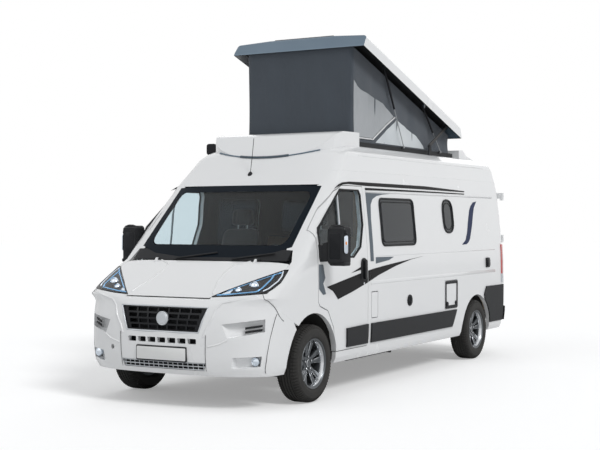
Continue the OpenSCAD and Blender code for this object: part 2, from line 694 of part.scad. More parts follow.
rear_door_x = half_w - 140;
module side_panel() intersection() {
    layer(0, wall);
    difference() {
        box([300, post_rear_y + touch, 310], [far, tail_y, roof_seam_z]);
        // opening of the rear doors
        box([0, tail_y - 300, 0], [rear_door_x + seam, tail_y, 2200]);
    }
}
module flap_pin(r, over) translate([flap_axis[0], flap_axis[1],
    flap[2] - hatch_gap - 1]) cylinder(h = hatch_gap + 1 + over, r = r, $fn = 16);
module hatch_pins(r, over) for (y = [hatch[0] - hatch_gap - 1, hatch[1] - over])
    translate([hatch_axis[0], y, hatch_axis[1]]) rotate([-90, 0,
        0]) cylinder(h = hatch_gap + 1 + over, r = r, $fn = 16);
module side_panel_left() color("white") {
    left_wall();
    flap_pin(hatch_pin_r, 12);
    hatch_pins(hatch_pin_r, 12);
    rear_hinge_lugs();
}
module left_wall() difference() {
    side_panel();
    left_prism(grown_rect(window_main, 0));
    left_prism(grown_rect(window_small, 0));
    for (h = [hatch, flap]) side_prism(pocket_outline(h), side_x(800) - pocket_depth, far);
    rear_house(arch_r, house_x);
}
module side_panel_right() color("white") {
    right_wall();
    mirror([1, 0, 0]) rear_hinge_lugs();
}
module right_wall() difference() {
    mirror([1, 0, 0]) side_panel();
    right_prism(grown_rect(window_right, 0));
    right_prism(round_rect(slide_front_y - touch, slide_z[0] - touch, slide_rear_y + touch,
        slide_z[1] + touch, 34));
    mirror([1, 0, 0]) rear_house(arch_r, house_x);
}
module sliding_door() color("white") difference() {
    intersection() {
        layer(0, wall);
        right_prism(round_rect(slide_front_y, slide_z[0], slide_rear_y, slide_z[1], 34));
    }
    right_prism(grown_rect(window_slide, 0));
}
pane_t = 34;
module side_windows() color("black") intersection() {
    layer(-2, pane_t);
    union() {
        for (w = [window_main, window_small]) left_prism(grown_rect(w, -touch));
        for (w = [window_slide, window_right]) right_prism(grown_rect(w, -touch));
    }
}
moulding_z = [440, 630];
moulding_t = 18;
module side_mouldings() color("black") both_sides() difference() {
    intersection() {
        loft(-moulding_t);
        left_prism([[post_rear_y + 8, moulding_z[0]], [rear_axle_y - 770, moulding_z[0]],
            [rear_axle_y - 655, moulding_z[1]], [post_rear_y + 8, moulding_z[1]]]);
    }
    loft(-touch);
}
flap_t = 14;
module fuel_flap() color("white") difference() {
    intersection() {
        layer(0, flap_t);
        left_prism(grown_rect(flap, 0));
    }
    flap_pin(hatch_pin_r + touch, 13);
}
module service_hatch() color("white") difference() {
    intersection() {
        layer(-2, flap_t + 2);
        left_prism(grown_rect(hatch, 0));
    }
    hatch_pins(hatch_pin_r + touch, 13);
}

// Rear

rear_low = 590;
rear_high = 2115;
rear_window = [170, 700, 1330, 1900, 80];
rear_hinge = [half_w - 42, tail_y - 14];
rear_hinge_z = [916, 1430, 1960];
hinge_h = 70;
hinge_r = 13;
module rear_door() color("white") {
    difference() {
        intersection() {
            layer(0, door_t);
            box([seam / 2, tail_y - 300, rear_low], [rear_door_x, tail_y, rear_high]);
        }
        front_prism(grown_rect(rear_window, 0), tail_y - 300, tail_y + 50);
    }
    // hinge straps out to the pins
    for (z = rear_hinge_z) translate([0, 0, z - hinge_h / 2]) linear_extrude(hinge_h) difference() {
        union() {
            translate(rear_hinge) circle(r = hinge_r);
            polygon([[rear_door_x - 70, tail_y - 50], [rear_door_x - 4, tail_y - 50],
                [rear_door_x, tail_y - 27], rear_hinge + [0, -hinge_r + 1],
                rear_hinge + [0, hinge_r - 1], [rear_door_x - 40, tail_y - 20],
                [rear_door_x - 70, tail_y - 30]]);
        }
        translate(rear_hinge) circle(r = pin_r + touch);
    }
}
// Lugs on the rear corner with the upright pins of the straps
module rear_hinge_lugs() for (z = rear_hinge_z) {
    translate([0, 0, z - hinge_h / 2 - hinge_h / 3 - touch]) linear_extrude(hinge_h / 3) hull() {
        translate(rear_hinge) circle(r = hinge_r);
        translate(rear_hinge + [0, -50]) square([36, 20], center = true);
    }
    translate([rear_hinge[0], rear_hinge[1], z - hinge_h / 2 - 10]) cylinder(h = hinge_h + 10,
        r = pin_r);
}
module rear_door_left() rear_door();
module rear_door_right() mirror([1, 0, 0]) rear_door();
module rear_glass() color("black") intersection() {
    layer(glass_back, glass_back + glass_t);
    front_prism(grown_rect(rear_window, -touch), tail_y - 300, tail_y + 50);
}
module rear_glass_left() rear_glass();
module rear_glass_right() mirror([1, 0, 0]) rear_glass();
bumper_low = 405;
cap_t = 14;
module rear_bumper() color("black") difference() {
    union() {
        // step across the rear
        intersection() {
            loft(-30);
            box([-far, tail_y - 90, bumper_low], [far, tail_y, rear_low - 14]);
        }
        // corner caps below the lamps
        both_sides() intersection() {
            loft(-cap_t);
            left_prism([[rear_axle_y + 300, 850], [rear_axle_y + 230, 760],
                [rear_axle_y + 330, bumper_low], [tail_y - 24, bumper_low], [tail_y - 24, 850]]);
            box([rear_door_x + 24, 0, 0], [far, tail_y - 24, 2000]);
        }
    }
    loft(-touch);
    both_sides() rear_house(arch_r, house_x);
}
module tail_lamps() color("red") both_sides() difference() {
    intersection() {
        loft(-9);
        box([rear_door_x + 24, tail_y - 190, 880], [far, tail_y - 24, 1350]);
    }
    loft(-touch);
    // room for the low hinge
    box([0, tail_y - 100, 800], [far, tail_y, rear_hinge_z[0] + hinge_h / 2 + seam]);
}

// Roof

hole = [600, -520, 1790];
module shell_bed(low, high) box([-shell_w / 2 - bed_edge, closed_front_y - bed_edge, low],
    [shell_w / 2 + bed_edge, closed_rear_y + bed_edge, high]);
module roof_panel() color("white") difference() {
    union() {
        intersection() {
            layer(0, wall);
            union() {
                box([-far, nose_y, roof_seam_z + touch], [far, tail_y, 2600]);
                // forehead down to the windscreen
                front_prism([[-814 + touch, 2135], [-780 + touch, 1985], [780 - touch, 1985],
                    [814 - touch, 2135]], nose_y, post_rear_y);
            }
        }
        intersection() {
            loft(0);
            shell_bed(bed_flat_z - bed_flat_t, bed_flat_z);
        }
    }
    shell_bed(bed_flat_z, 2600);
    front_prism(grown(screen_outline, touch), nose_y, front_axle_y + 900);
    top_prism([[-hole[0], hole[1]], [hole[0], hole[1]], [hole[0], hole[2]], [-hole[0], hole[2]]],
        2200, 2600);
}
fairing_half = 750;
module roof_fairings() color("white") difference() {
    union() {
        // front fairing over the forehead
        intersection() {
            side_prism([[nose_y + 1735, 2262], [nose_y + 1940, 2490], [nose_y + 2030, 2528],
                [closed_front_y - 16, 2532], [closed_front_y - 16, 2300]], -fairing_half, fairing_half);
            top_prism(concat([for (i = [-8:8]) [fairing_half * sin(90 * i / 8),
                nose_y + 1735 + 460 * (1 - pow(cos(90 * i / 8), 0.55))]],
                [[fairing_half, 0], [-fairing_half, 0]]), 2200, 2600);
        }
        // rear fairing
        side_prism([[closed_rear_y + 30, 2300], [closed_rear_y + 30, 2500],
            [closed_rear_y + 150, 2505], [closed_rear_y + 270, 2440], [tail_y - 70, 2345],
            [tail_y - 130, 2300]], -700, 700);
    }
    loft(-touch);
    // hollow behind the front fairing's lip
    box([-fairing_half + 20, nose_y + 2090, 2300], [fairing_half - 20, 0, 2508]);
}
rail_top = 2455;
canvas_rail_x = 650;
post_x = [708, 720];
module roof_rails() color("black") difference() {
    union() {
        both_sides() {
            box([605, closed_front_y + 30, 2340], [canvas_rail_x, closed_rear_y - 60, rail_top]);
            // post of the lift arm, with its pivot pin
            side_prism([[arm_base[0] - 60, 2350], [arm_base[0] + 60, 2350],
                [arm_base[0] + 20, arm_base[1] + 18], [arm_base[0] - 20, arm_base[1] + 18]],
                post_x[0], post_x[1]);
            cross_cylinder(arm_x - 8, post_x[0] + 1, arm_base[0], arm_base[1], pin_r);
            // lugs beside the gas springs' lower eyes
            for (p = [front_low, rear_low_pin]) side_prism([[p[0] - 30, rail_top - 20],
                [p[0] + 30, rail_top - 20], [p[0] + 12, p[1] + 12], [p[0] - 12, p[1] + 12]],
                canvas_rail_x - 1, strut_x - eye_t / 2 - 1);
        }
        for (y = [closed_front_y + 30, closed_rear_y - 105]) box([-canvas_rail_x, y, 2340],
            [canvas_rail_x, y + 45, rail_top]);
    }
    intersection() {
        loft(-touch);
        box([-far, nose_y, 2200], [far, tail_y, bed_flat_z + touch]);
    }
}
awning_x = [-half_w + 32, -half_w + 150];
awning_y = [nose_y + 2165, nose_y + 5565];
awning_z = [2345, 2462];
module awning() color("black") difference() {
    union() {
        front_prism(round_rect(awning_x[0], awning_z[0], awning_x[1], awning_z[1], 26), awning_y[0],
            awning_y[1]);
        for (t = [0.1, 0.5, 0.9]) let (y = awning_y[0] + t * (awning_y[1] - awning_y[0]))
            box([awning_x[1] - 30, y - 40, 2320], [awning_x[1] + 50, y + 40, 2390]);
    }
    loft(-touch);
}

// Pop-up roof: the lift arms turn on the rails' posts and carry the shell's rear, gas springs hold
// it up
arm_x = 698;
arm_t = 10;
pin_r = 6;
pin_play = 0.3;
arm_base = [rear_axle_y - 734, 2500];
arm_end = arm_base + arm_l * [cos(arm_tilt), sin(arm_tilt)];
// Pivot on the shell, forward from its rear lower edge along its slope and up from it
shell_pin = [268, 60];
function on_shell(p) = shell_rear + p[0] * [-cos(shell_tilt),
    sin(shell_tilt)] + p[1] * [sin(shell_tilt), cos(shell_tilt)];
shell_rear = arm_end - shell_pin[0] * [-cos(shell_tilt),
    sin(shell_tilt)] - shell_pin[1] * [sin(shell_tilt), cos(shell_tilt)];
// Lowered, the shell stands level over the rails
closed_z = 2410;
closed_rear_y = arm_base[0] + sqrt(arm_l * arm_l - pow(closed_z + shell_pin[1] - arm_base[1],
    2)) + shell_pin[0];
closed_front_y = closed_rear_y - shell_l;
// Flat bed under the closed shell: its height, thickness and edge round the shell
bed_flat_z = closed_z - 8;
bed_flat_t = 40;
bed_edge = 12;
shell_t = 12;
crown = 24;
module shell_frame() translate([0, shell_rear[0], shell_rear[1]]) rotate([-shell_tilt, 0,
    0]) children();
// The shell lies along negative y of its frame
module shell_form(t) {
    h = shell_w / 2 - t;
    l = shell_l - t;
    top = shell_h - t;
    hull() {
        box([-h, -l, t > 0 ? -1 : 0], [h, -t, 20]);
        for (x = [-h + 43, h - 43]) translate([x, -l + 36, top - 50]) rotate([-90, 0,
            0]) cylinder(h = l - 96 - t, r = 43, $fn = 24);
        box([-h * 0.5, -l + 60, top + crown - 8], [h * 0.5, -130, top + crown]);
    }
}
module roof_shell() color("white") shell_frame() {
    difference() {
        shell_form(0);
        shell_form(shell_t);
    }
    // brackets of the lift arms with their pivot pins, and of the gas springs
    both_sides() {
        side_prism([[-shell_pin[0] - 50, shell_h - shell_t], [-shell_pin[0] - 18, shell_pin[1] - 16],
            [-shell_pin[0] + 18, shell_pin[1] - 16], [-shell_pin[0] + 50, shell_h - shell_t]],
            post_x[0], post_x[1]);
        cross_cylinder(arm_x - 8, post_x[0] + 1, -shell_pin[0], shell_pin[1], pin_r);
        for (p = [front_eye, rear_eye]) {
            side_prism([[-p[0] - 30, shell_h - shell_t], [-p[0] - 12, p[1] - 12],
                [-p[0] + 12, p[1] - 12], [-p[0] + 30, shell_h - shell_t]], strut_x + eye_t,
                strut_x + eye_t + 8);
            cross_cylinder(strut_x - eye_t / 2, strut_x + eye_t + 1, -p[0], p[1], piston_r);
        }
    }
}
canvas_x = 636;
canvas_t = 6;
canvas_front = closed_front_y + 50;
canvas_rear = closed_rear_y - 110;
// Height of the raised shell's lower edge over a point
function shell_under(y) = shell_rear[1] + (shell_rear[0] - y) * tan(shell_tilt);
module canvas() color("slategray") difference() {
    side_prism([[canvas_front, rail_top + touch], [canvas_rear, rail_top + touch],
        [canvas_rear, shell_under(canvas_rear) + 20], [canvas_front, shell_under(canvas_front) + 20]],
        -canvas_x, canvas_x);
    side_prism([[canvas_front + canvas_t, rail_top - 1], [canvas_rear - canvas_t, rail_top - 1],
        [canvas_rear - canvas_t, 4000], [canvas_front + canvas_t, 4000]],
        -canvas_x + canvas_t, canvas_x - canvas_t);
}
module lift_arms() color("black") both_sides() difference() {
    hull() for (p = [arm_base, arm_end]) cross_cylinder(arm_x - arm_t / 2, arm_x + arm_t / 2, p[0],
        p[1], 17);
    for (p = [arm_base, arm_end]) cross_cylinder(arm_x - arm_t, arm_x + arm_t, p[0], p[1],
        pin_r + pin_play);
}
// Gas springs: rail end, shell end and tube length
strut_x = 668;
tube_r = 11;
piston_r = 5;
eye_t = 14;
eye_r = 13;
front_low = [rear_axle_y - 1354, 2455];
front_eye = [2049, 82];
front_top = on_shell(front_eye);
front_tube = 518;
rear_low_pin = [rear_axle_y - 314, 2455];
rear_eye = [950, 40];
rear_top_pin = on_shell(rear_eye);
rear_tube = 400;
module strut_tube(low, top, l) both_sides() {
    d = (low - top) / norm(low - top);
    difference() {
        union() {
            rod([strut_x, top[0], top[1]], [strut_x, (top + l * d)[0], (top + l * d)[1]], tube_r);
            cross_cylinder(strut_x - eye_t / 2, strut_x + eye_t / 2, top[0], top[1], eye_r);
        }
        rod([strut_x, (top + 40 * d)[0], (top + 40 * d)[1]],
            [strut_x, (top + (l + 1) * d)[0], (top + (l + 1) * d)[1]], piston_r + pin_play);
        cross_cylinder(strut_x - eye_t, strut_x + eye_t, top[0], top[1], piston_r + pin_play);
    }
}
rod_in = 23;
module strut_rod(low, top, l) both_sides() {
    d = (low - top) / norm(low - top);
    rod([strut_x, (top + (l - rod_in) * d)[0], (top + (l - rod_in) * d)[1]], [strut_x, low[0], low[1]],
        piston_r);
    cross_cylinder(strut_x - eye_t / 2, strut_x + eye_t / 2, low[0], low[1], 11);
}
module front_strut_tubes() color("black") strut_tube(front_low, front_top, front_tube);
module front_strut_rods() color("silver") strut_rod(front_low, front_top, front_tube);
module rear_strut_tubes() color("black") strut_tube(rear_low_pin, rear_top_pin, rear_tube);
module rear_strut_rods() color("silver") strut_rod(rear_low_pin, rear_top_pin, rear_tube);

// Cab interior

wheel_at = [430, front_axle_y + 391, 1240];
wheel_lean = 59;
module steering_wheel() translate(wheel_at) rotate([-wheel_lean, 0, 0]) {
    rotate_extrude($fn = 32) translate([185, 0]) circle(r = 14, $fn = 14);
    translate([0, 0, -250]) cylinder(h = 240, r = 38);
    translate([0, 0, -22]) cylinder(h = 34, r = 62);
    for (a = [0, 90, 180]) rotate(a) translate([40, -18, -12]) cube([140, 36, 18]);
}
module dashboard() color("black") {
    dash_pad();
    steering_wheel();
}
module dash_pad() intersection() {
    side_prism([[fire_y + fire_t + touch, 900], [fire_y + fire_t + touch, 1330], [fire_y + 110, 1330],
        [fire_y + 220, 1270], [fire_y + 270, 1180], [fire_y + 250, 980], [fire_y + 120, 860]], -870,
        870);
    loft(door_t + 12);
}
seat_x = 430;
seat_y = door_front_y + 640;
module cab_seats() color("dimgray") both_sides() translate([seat_x, seat_y, 0]) {
    box([-210, -230, floor_z + touch], [210, 230, 860]);
    hull() {
        box([-250, -260, 860], [250, 240, 900]);
        box([-230, -280, 920], [230, 240, 990]);
    }
    hull() {
        box([-250, 200, 930], [250, 320, 980]);
        box([-220, 300, 1520], [220, 390, 1560]);
    }
    hull() {
        box([-130, 325, 1590], [130, 395, 1620]);
        box([-110, 335, 1740], [110, 390, 1760]);
    }
    box([-70, 345, 1550], [70, 375, 1600]);
}
// Living space: bench behind the driver, washroom, kitchen by the sliding door, bed over the rear
// storage
aisle_x = [-340, 200];
bed_z = [1080, 1180];
module furniture() color("tan") intersection() {
    union() {
        box([aisle_x[1] + 150, post_rear_y + 60, floor_z + touch], [far, post_rear_y + 640, 1000]);
        box([aisle_x[1], post_rear_y + 1190, floor_z + touch], [far, rear_axle_y - 560, 2040]);
        box([-far, slide_rear_y + 40, floor_z + touch], [aisle_x[0], rear_axle_y - 600, 1450]);
        difference() {
            box([-far, rear_axle_y - 530, floor_z + touch], [far, tail_y - 200, bed_z[1]]);
            box([-560, 0, 0], [560, tail_y, bed_z[0]]);
        }
    }
    loft(wall + 2 * touch);
    difference() {
        box([-far, nose_y, 0], [far, tail_y, 3000]);
        wheel_houses(house_r + touch);
    }
}

chassis();
floor_pan();
engine_block();
wheel_liners();
front_suspension();
knuckle_left();
knuckle_right();
rear_axle();
tanks();
exhaust();
tyre_front_left();
tyre_front_right();
tyre_rear_left();
tyre_rear_right();
rim_front_left();
rim_front_right();
rim_rear_left();
rim_rear_right();
front_bumper();
grille();
headlamps();
wings();
bonnet();
cowl();
cab_frame();
windscreen();
wipers();
cab_door_left();
cab_door_right();
door_glass_left();
door_glass_right();
mirror_left();
mirror_right();
side_panel_left();
side_panel_right();
sliding_door();
side_windows();
side_mouldings();
fuel_flap();
service_hatch();
rear_door_left();
rear_door_right();
rear_glass_left();
rear_glass_right();
rear_bumper();
tail_lamps();
roof_panel();
roof_fairings();
roof_rails();
awning();
roof_shell();
canvas();
lift_arms();
front_strut_tubes();
front_strut_rods();
rear_strut_tubes();
rear_strut_rods();
dashboard();
cab_seats();
furniture();
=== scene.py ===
import json
import math

import bmesh
import bpy
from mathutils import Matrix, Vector

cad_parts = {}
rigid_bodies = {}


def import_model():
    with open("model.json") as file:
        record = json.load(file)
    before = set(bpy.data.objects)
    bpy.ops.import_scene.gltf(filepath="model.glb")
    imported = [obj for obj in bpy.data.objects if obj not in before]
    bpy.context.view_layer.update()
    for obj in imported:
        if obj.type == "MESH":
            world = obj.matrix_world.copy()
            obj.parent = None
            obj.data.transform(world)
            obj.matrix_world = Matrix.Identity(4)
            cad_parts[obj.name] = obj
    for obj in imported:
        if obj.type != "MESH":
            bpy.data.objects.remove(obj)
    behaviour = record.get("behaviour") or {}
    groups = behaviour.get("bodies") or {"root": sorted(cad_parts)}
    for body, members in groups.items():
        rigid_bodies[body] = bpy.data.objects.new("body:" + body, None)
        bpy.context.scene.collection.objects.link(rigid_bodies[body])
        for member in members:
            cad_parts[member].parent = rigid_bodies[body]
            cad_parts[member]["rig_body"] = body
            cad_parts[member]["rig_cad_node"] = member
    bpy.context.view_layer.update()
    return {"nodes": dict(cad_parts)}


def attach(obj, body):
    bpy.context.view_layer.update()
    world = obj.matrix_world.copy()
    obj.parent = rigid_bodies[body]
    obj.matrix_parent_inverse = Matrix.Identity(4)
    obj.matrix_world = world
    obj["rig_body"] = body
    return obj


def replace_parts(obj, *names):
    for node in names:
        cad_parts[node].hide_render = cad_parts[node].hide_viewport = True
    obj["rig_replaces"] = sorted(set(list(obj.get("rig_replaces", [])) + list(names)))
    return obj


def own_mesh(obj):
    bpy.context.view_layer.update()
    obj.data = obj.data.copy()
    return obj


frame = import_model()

OPS = bpy.ops

# Main measures of the van in metres: x to its left, y to its rear
HALF_W = 1.005
NOSE_Y = -2.999
FRONT_AXLE_Y = -2.051
REAR_AXLE_Y = 1.984
AXLE_Z = 0.351
DOOR_REAR_Y = -0.950
POST_REAR_Y = -0.890
PANEL_FRONT_Y = -0.884
FRONT_WHEEL_X = 0.905
REAR_WHEEL_X = 0.895

# Points nearer to each other than this are one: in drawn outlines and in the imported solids
MERGE = 0.00002
SKIN_MERGE = 0.00005

# Body sections: height, inset of the side, setback of the nose, depth and power of the front corner
SECTIONS = [
    (0.300, 0.045, 0.049, 0.52, 3.0), (0.360, 0.020, 0.019, 0.54, 3.0), (0.480, 0.007, 0.003, 0.55, 3.0),
    (0.620, 0.002, 0.000, 0.55, 3.0), (0.800, 0.000, 0.009, 0.55, 3.0), (0.900, 0.000, 0.034, 0.54, 3.0),
    (0.950, 0.000, 0.059, 0.50, 3.6), (0.970, 0.000, 0.099, 0.45, 4.6), (1.030, 0.000, 0.199, 0.42, 5.0),
    (1.120, 0.001, 0.379, 0.37, 4.8), (1.200, 0.003, 0.539, 0.30, 5.0), (1.270, 0.005, 0.693, 0.28, 5.0),
    (1.400, 0.013, 0.829, 0.26, 5.0), (1.600, 0.030, 1.038, 0.26, 5.0), (1.800, 0.051, 1.246, 0.26, 4.5),
    (1.975, 0.070, 1.429, 0.26, 4.5), (2.130, 0.102, 1.591, 0.26, 4.0), (2.270, 0.137, 1.737, 0.27, 4.0),
    (2.330, 0.170, 1.809, 0.29, 3.5), (2.380, 0.235, 1.899, 0.32, 3.0)]


def section_at(z):
    """The body section at a height, between its two neighbours."""
    for low, high in zip(SECTIONS, SECTIONS[1:]):
        if z <= high[0]:
            t = max(0.0, (z - low[0]) / (high[0] - low[0]))
            return [a + (b - a) * t for a, b in zip(low, high)]
    return list(SECTIONS[-1])


def side_x(z):
    """Half width of the body at a height."""
    return HALF_W - section_at(z)[1]


def nose_y(x, z):
    """How far forward the front of the body lies, at a distance from the middle and a height."""
    _, inset, nose, depth, power = section_at(z)
    share = min(1.0, abs(x) / (HALF_W - inset))
    return NOSE_Y + nose + depth - depth * (1 - share ** power) ** (1 / power)


# Hand tools: each one works on what it selects itself

def clear():
    """Leaves edit mode with nothing selected."""
    if bpy.context.mode != "OBJECT":
        OPS.object.mode_set(mode="OBJECT")
    OPS.object.select_all(action="DESELECT")


def take(*pieces):
    """Selects pieces and makes the last one active."""
    clear()
    for piece in pieces:
        piece.select_set(True)
    bpy.context.view_layer.objects.active = pieces[-1]
    return pieces[-1]


def fresh(name):
    """Names the new primitive and puts its place into its mesh."""
    piece = bpy.context.active_object
    piece.name = name
    piece.data.name = name
    OPS.object.transform_apply(location=True, rotation=True, scale=True)
    return piece


def edit(piece, everything=True):
    """Enters edit mode with all points selected, or none."""
    take(piece)
    OPS.object.mode_set(mode="EDIT")
    OPS.mesh.select_mode(type="VERT")
    OPS.mesh.select_all(action="SELECT" if everything else "DESELECT")


def pick_faces(test):
    """Selects the faces of the piece in edit mode that pass a test on middle and normal."""
    OPS.mesh.select_mode(type="FACE")
    OPS.mesh.select_all(action="DESELECT")
    mesh = bmesh.from_edit_mesh(bpy.context.edit_object.data)
    for face in mesh.faces:
        face.select_set(test(face.calc_center_median(), face.normal))
    bmesh.update_edit_mesh(bpy.context.edit_object.data)


def modify(piece, kind, **settings):
    """Adds a modifier, sets it and applies it."""
    take(piece)
    step = piece.modifiers.new(kind.lower(), kind)
    for key, value in settings.items():
        setattr(step, key, value)
    OPS.object.modifier_apply(modifier=step.name)
    return piece


def block(name, low, high, soft=0.0, steps=2):
    """A box between two corners with rounded edges."""
    clear()
    OPS.mesh.primitive_cube_add(size=1, location=[(a + b) / 2 for a, b in zip(low, high)],
                                scale=[b - a for a, b in zip(low, high)])
    piece = fresh(name)
    if soft:
        edit(piece)
        OPS.mesh.bevel(offset=soft, segments=steps, affect="EDGES")
        clear()
    return piece


def trace(name, points, close="face"):
    """An outline drawn point by point: filled, closed as a wire, or left open."""
    clear()
    OPS.mesh.primitive_plane_add(size=0.01, location=points[0])
    piece = fresh(name)
    edit(piece)
    OPS.mesh.merge(type="CENTER")
    here = Vector(points[0])
    for point in list(points[1:]) + ([points[0]] if close != "open" else []):
        OPS.mesh.extrude_vertices_move(TRANSFORM_OT_translate={"value": Vector(point) - here})
        here = Vector(point)
    OPS.mesh.select_all(action="SELECT")
    if close != "open":
        OPS.mesh.remove_doubles(threshold=MERGE)
        OPS.mesh.select_all(action="SELECT")
    if close == "face":
        OPS.mesh.edge_face_add()
    clear()
    return piece


def plate(name, points, by, soft=0.0, steps=2):
    """A traced outline drawn out to a solid, its edges rounded."""
    piece = trace(name, points)
    edit(piece)
    OPS.mesh.extrude_region_move(TRANSFORM_OT_translate={"value": Vector(by)})
    OPS.mesh.select_all(action="SELECT")
    OPS.mesh.normals_make_consistent(inside=False)
    if soft:
        OPS.mesh.bevel(offset=soft, segments=steps, affect="EDGES", clamp_overlap=True)
    clear()
    return piece


def turned(name, profile, centre, axis, steps=48, close="open"):
    """A profile of points turned round an axis."""
    piece = trace(name, profile, close)
    edit(piece)
    OPS.mesh.spin(steps=steps, angle=2 * math.pi, center=centre, axis=axis)
    OPS.mesh.select_all(action="SELECT")
    OPS.mesh.remove_doubles(threshold=MERGE)
    OPS.mesh.normals_make_consistent(inside=False)
    clear()
    return piece


def tube(name, points, radius, sides=2):
    """A round bar along a path."""
    piece = trace(name, points, "open")
    take(piece)
    OPS.object.convert(target="CURVE")
    piece = bpy.context.active_object
    piece.data.bevel_depth = radius
    piece.data.bevel_resolution = sides
    piece.data.use_fill_caps = True
    OPS.object.convert(target="MESH")
    piece = bpy.context.active_object
    piece.name = name
    return piece


def loop(name, points, radius):
    """A round bar along a closed path."""
    piece = trace(name, points, "wire")
    take(piece)
    OPS.object.convert(target="CURVE")
    piece.data.bevel_depth = radius
    piece.data.bevel_resolution = 2
    OPS.object.convert(target="MESH")
    piece = bpy.context.active_object
    piece.name = name
    return piece


def join(name, pieces):
    """Makes one piece of several."""
    take(*pieces)
    if len(pieces) > 1:
        OPS.object.join()
    piece = bpy.context.active_object
    piece.name = name
    piece.data.name = name
    return piece


def copy_of(piece, name):
    """A second piece of the same shape in the same place."""
    take(piece)
    OPS.object.duplicate()
    twin = bpy.context.active_object
    twin.name = name
    twin.data.name = name
    return twin


def mirrored(piece, name):
    """The same piece for the other side of the van."""
    twin = copy_of(piece, name)
    edit(twin)
    OPS.transform.resize(value=(-1, 1, 1), center_override=(0, 0, 0))
    OPS.mesh.flip_normals()
    clear()
    return twin


def cut(piece, cutter, how="DIFFERENCE"):
    """Cuts a piece with a cutter, which is used up."""
    modify(piece, "BOOLEAN", operation=how, solver="EXACT", object=cutter)
    take(cutter)
    OPS.object.delete()
    return piece


def trim(piece, point, normal):
    """Cuts a piece off on the side that the normal points to."""
    edit(piece)
    OPS.mesh.bisect(plane_co=point, plane_no=normal, use_fill=False, clear_outer=True)
    clear()
    return piece


def rounded(y0, z0, y1, z1, r, steps=5):
    """Outline of a rectangle with round corners."""
    corners = ((y1 - r, z1 - r, 0), (y0 + r, z1 - r, 90), (y0 + r, z0 + r, 180), (y1 - r, z0 + r, 270))
    return [(y + r * math.cos(math.radians(a + 90 * i / steps)),
             z + r * math.sin(math.radians(a + 90 * i / steps)))
            for y, z, a in corners for i in range(steps + 1)]


def settle(piece, body, finish, angle=30, stands_for=()):
    """Shades a finished piece, gives it its finish and seats it on its body."""
    take(piece)
    OPS.object.shade_smooth_by_angle(angle=math.radians(angle))
    piece.data.materials.clear()
    piece.data.materials.append(finish)
    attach(piece, body)
    if stands_for:
        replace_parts(piece, *stands_for)
    return piece


def second_finish(piece, finish, test):
    """Gives the faces that pass the test another finish."""
    piece.data.materials.append(finish)
    edit(piece, False)
    pick_faces(test)
    piece.active_material_index = len(piece.data.materials) - 1
    OPS.object.material_slot_assign()
    clear()


# Finishes

def finish(name, colour, other, patch, rough, bump=None, **sockets):
    """A finish that drifts between two colours and two roughnesses in soft patches, with a fine bump."""
    made = bpy.data.materials.new(name)
    made.use_nodes = True
    nodes, links = made.node_tree.nodes, made.node_tree.links
    shader = nodes["Principled BSDF"]
    place = nodes.new("ShaderNodeTexCoord").outputs["Object"]
    drift = nodes.new("ShaderNodeTexNoise")
    drift.inputs["Scale"].default_value = patch
    drift.inputs["Detail"].default_value = 5
    links.new(place, drift.inputs["Vector"])
    tones = nodes.new("ShaderNodeMix")
    tones.data_type = "RGBA"
    tones.inputs["A"].default_value = (*colour, 1)
    tones.inputs["B"].default_value = (*other, 1)
    links.new(drift.outputs["Fac"], tones.inputs["Factor"])
    links.new(tones.outputs["Result"], shader.inputs["Base Color"])
    spread = nodes.new("ShaderNodeMapRange")
    spread.inputs["To Min"].default_value = rough[0]
    spread.inputs["To Max"].default_value = rough[1]
    links.new(drift.outputs["Fac"], spread.inputs["Value"])
    links.new(spread.outputs["Result"], shader.inputs["Roughness"])
    if bump:
        scale, strength, depth = bump
        grain = nodes.new("ShaderNodeTexNoise")
        grain.inputs["Scale"].default_value = scale
        grain.inputs["Detail"].default_value = 3
        links.new(place, grain.inputs["Vector"])
        raised = nodes.new("ShaderNodeBump")
        raised.inputs["Strength"].default_value = strength
        raised.inputs["Distance"].default_value = depth
        links.new(grain.outputs["Fac"], raised.inputs["Height"])
        links.new(raised.outputs["Normal"], shader.inputs["Normal"])
    for key, value in sockets.items():
        shader.inputs[key.replace("_", " ")].default_value = value
    return made


# At a scale of 1 the wave texture repeats after about this length
WAVE_LENGTH = 0.31


def woven(name, colour, other, thread, strength, rough=(0.75, 0.9), **sockets):
    """Cloth: crossing threads of a width over soft patches."""
    made = finish(name, colour, other, patch=2.5, rough=rough, **sockets)
    nodes, links = made.node_tree.nodes, made.node_tree.links
    place = nodes["Texture Coordinate"].outputs["Object"]
    height = None
    for axis in ("X", "Y", "Z"):
        thread_wave = nodes.new("ShaderNodeTexWave")
        thread_wave.bands_direction = axis
        thread_wave.inputs["Scale"].default_value = WAVE_LENGTH / thread
        thread_wave.inputs["Distortion"].default_value = 0.6
        links.new(place, thread_wave.inputs["Vector"])
        if height is None:
            height = thread_wave.outputs["Fac"]
        else:
            crossing = nodes.new("ShaderNodeMath")
            crossing.operation = "ADD"
            links.new(height, crossing.inputs[0])
            links.new(thread_wave.outputs["Fac"], crossing.inputs[1])
            height = crossing.outputs["Value"]
    raised = nodes.new("ShaderNodeBump")
    raised.inputs["Strength"].default_value = strength
    raised.inputs["Distance"].default_value = thread / 3
    links.new(height, raised.inputs["Height"])
    links.new(raised.outputs["Normal"], nodes["Principled BSDF"].inputs["Normal"])
    return made


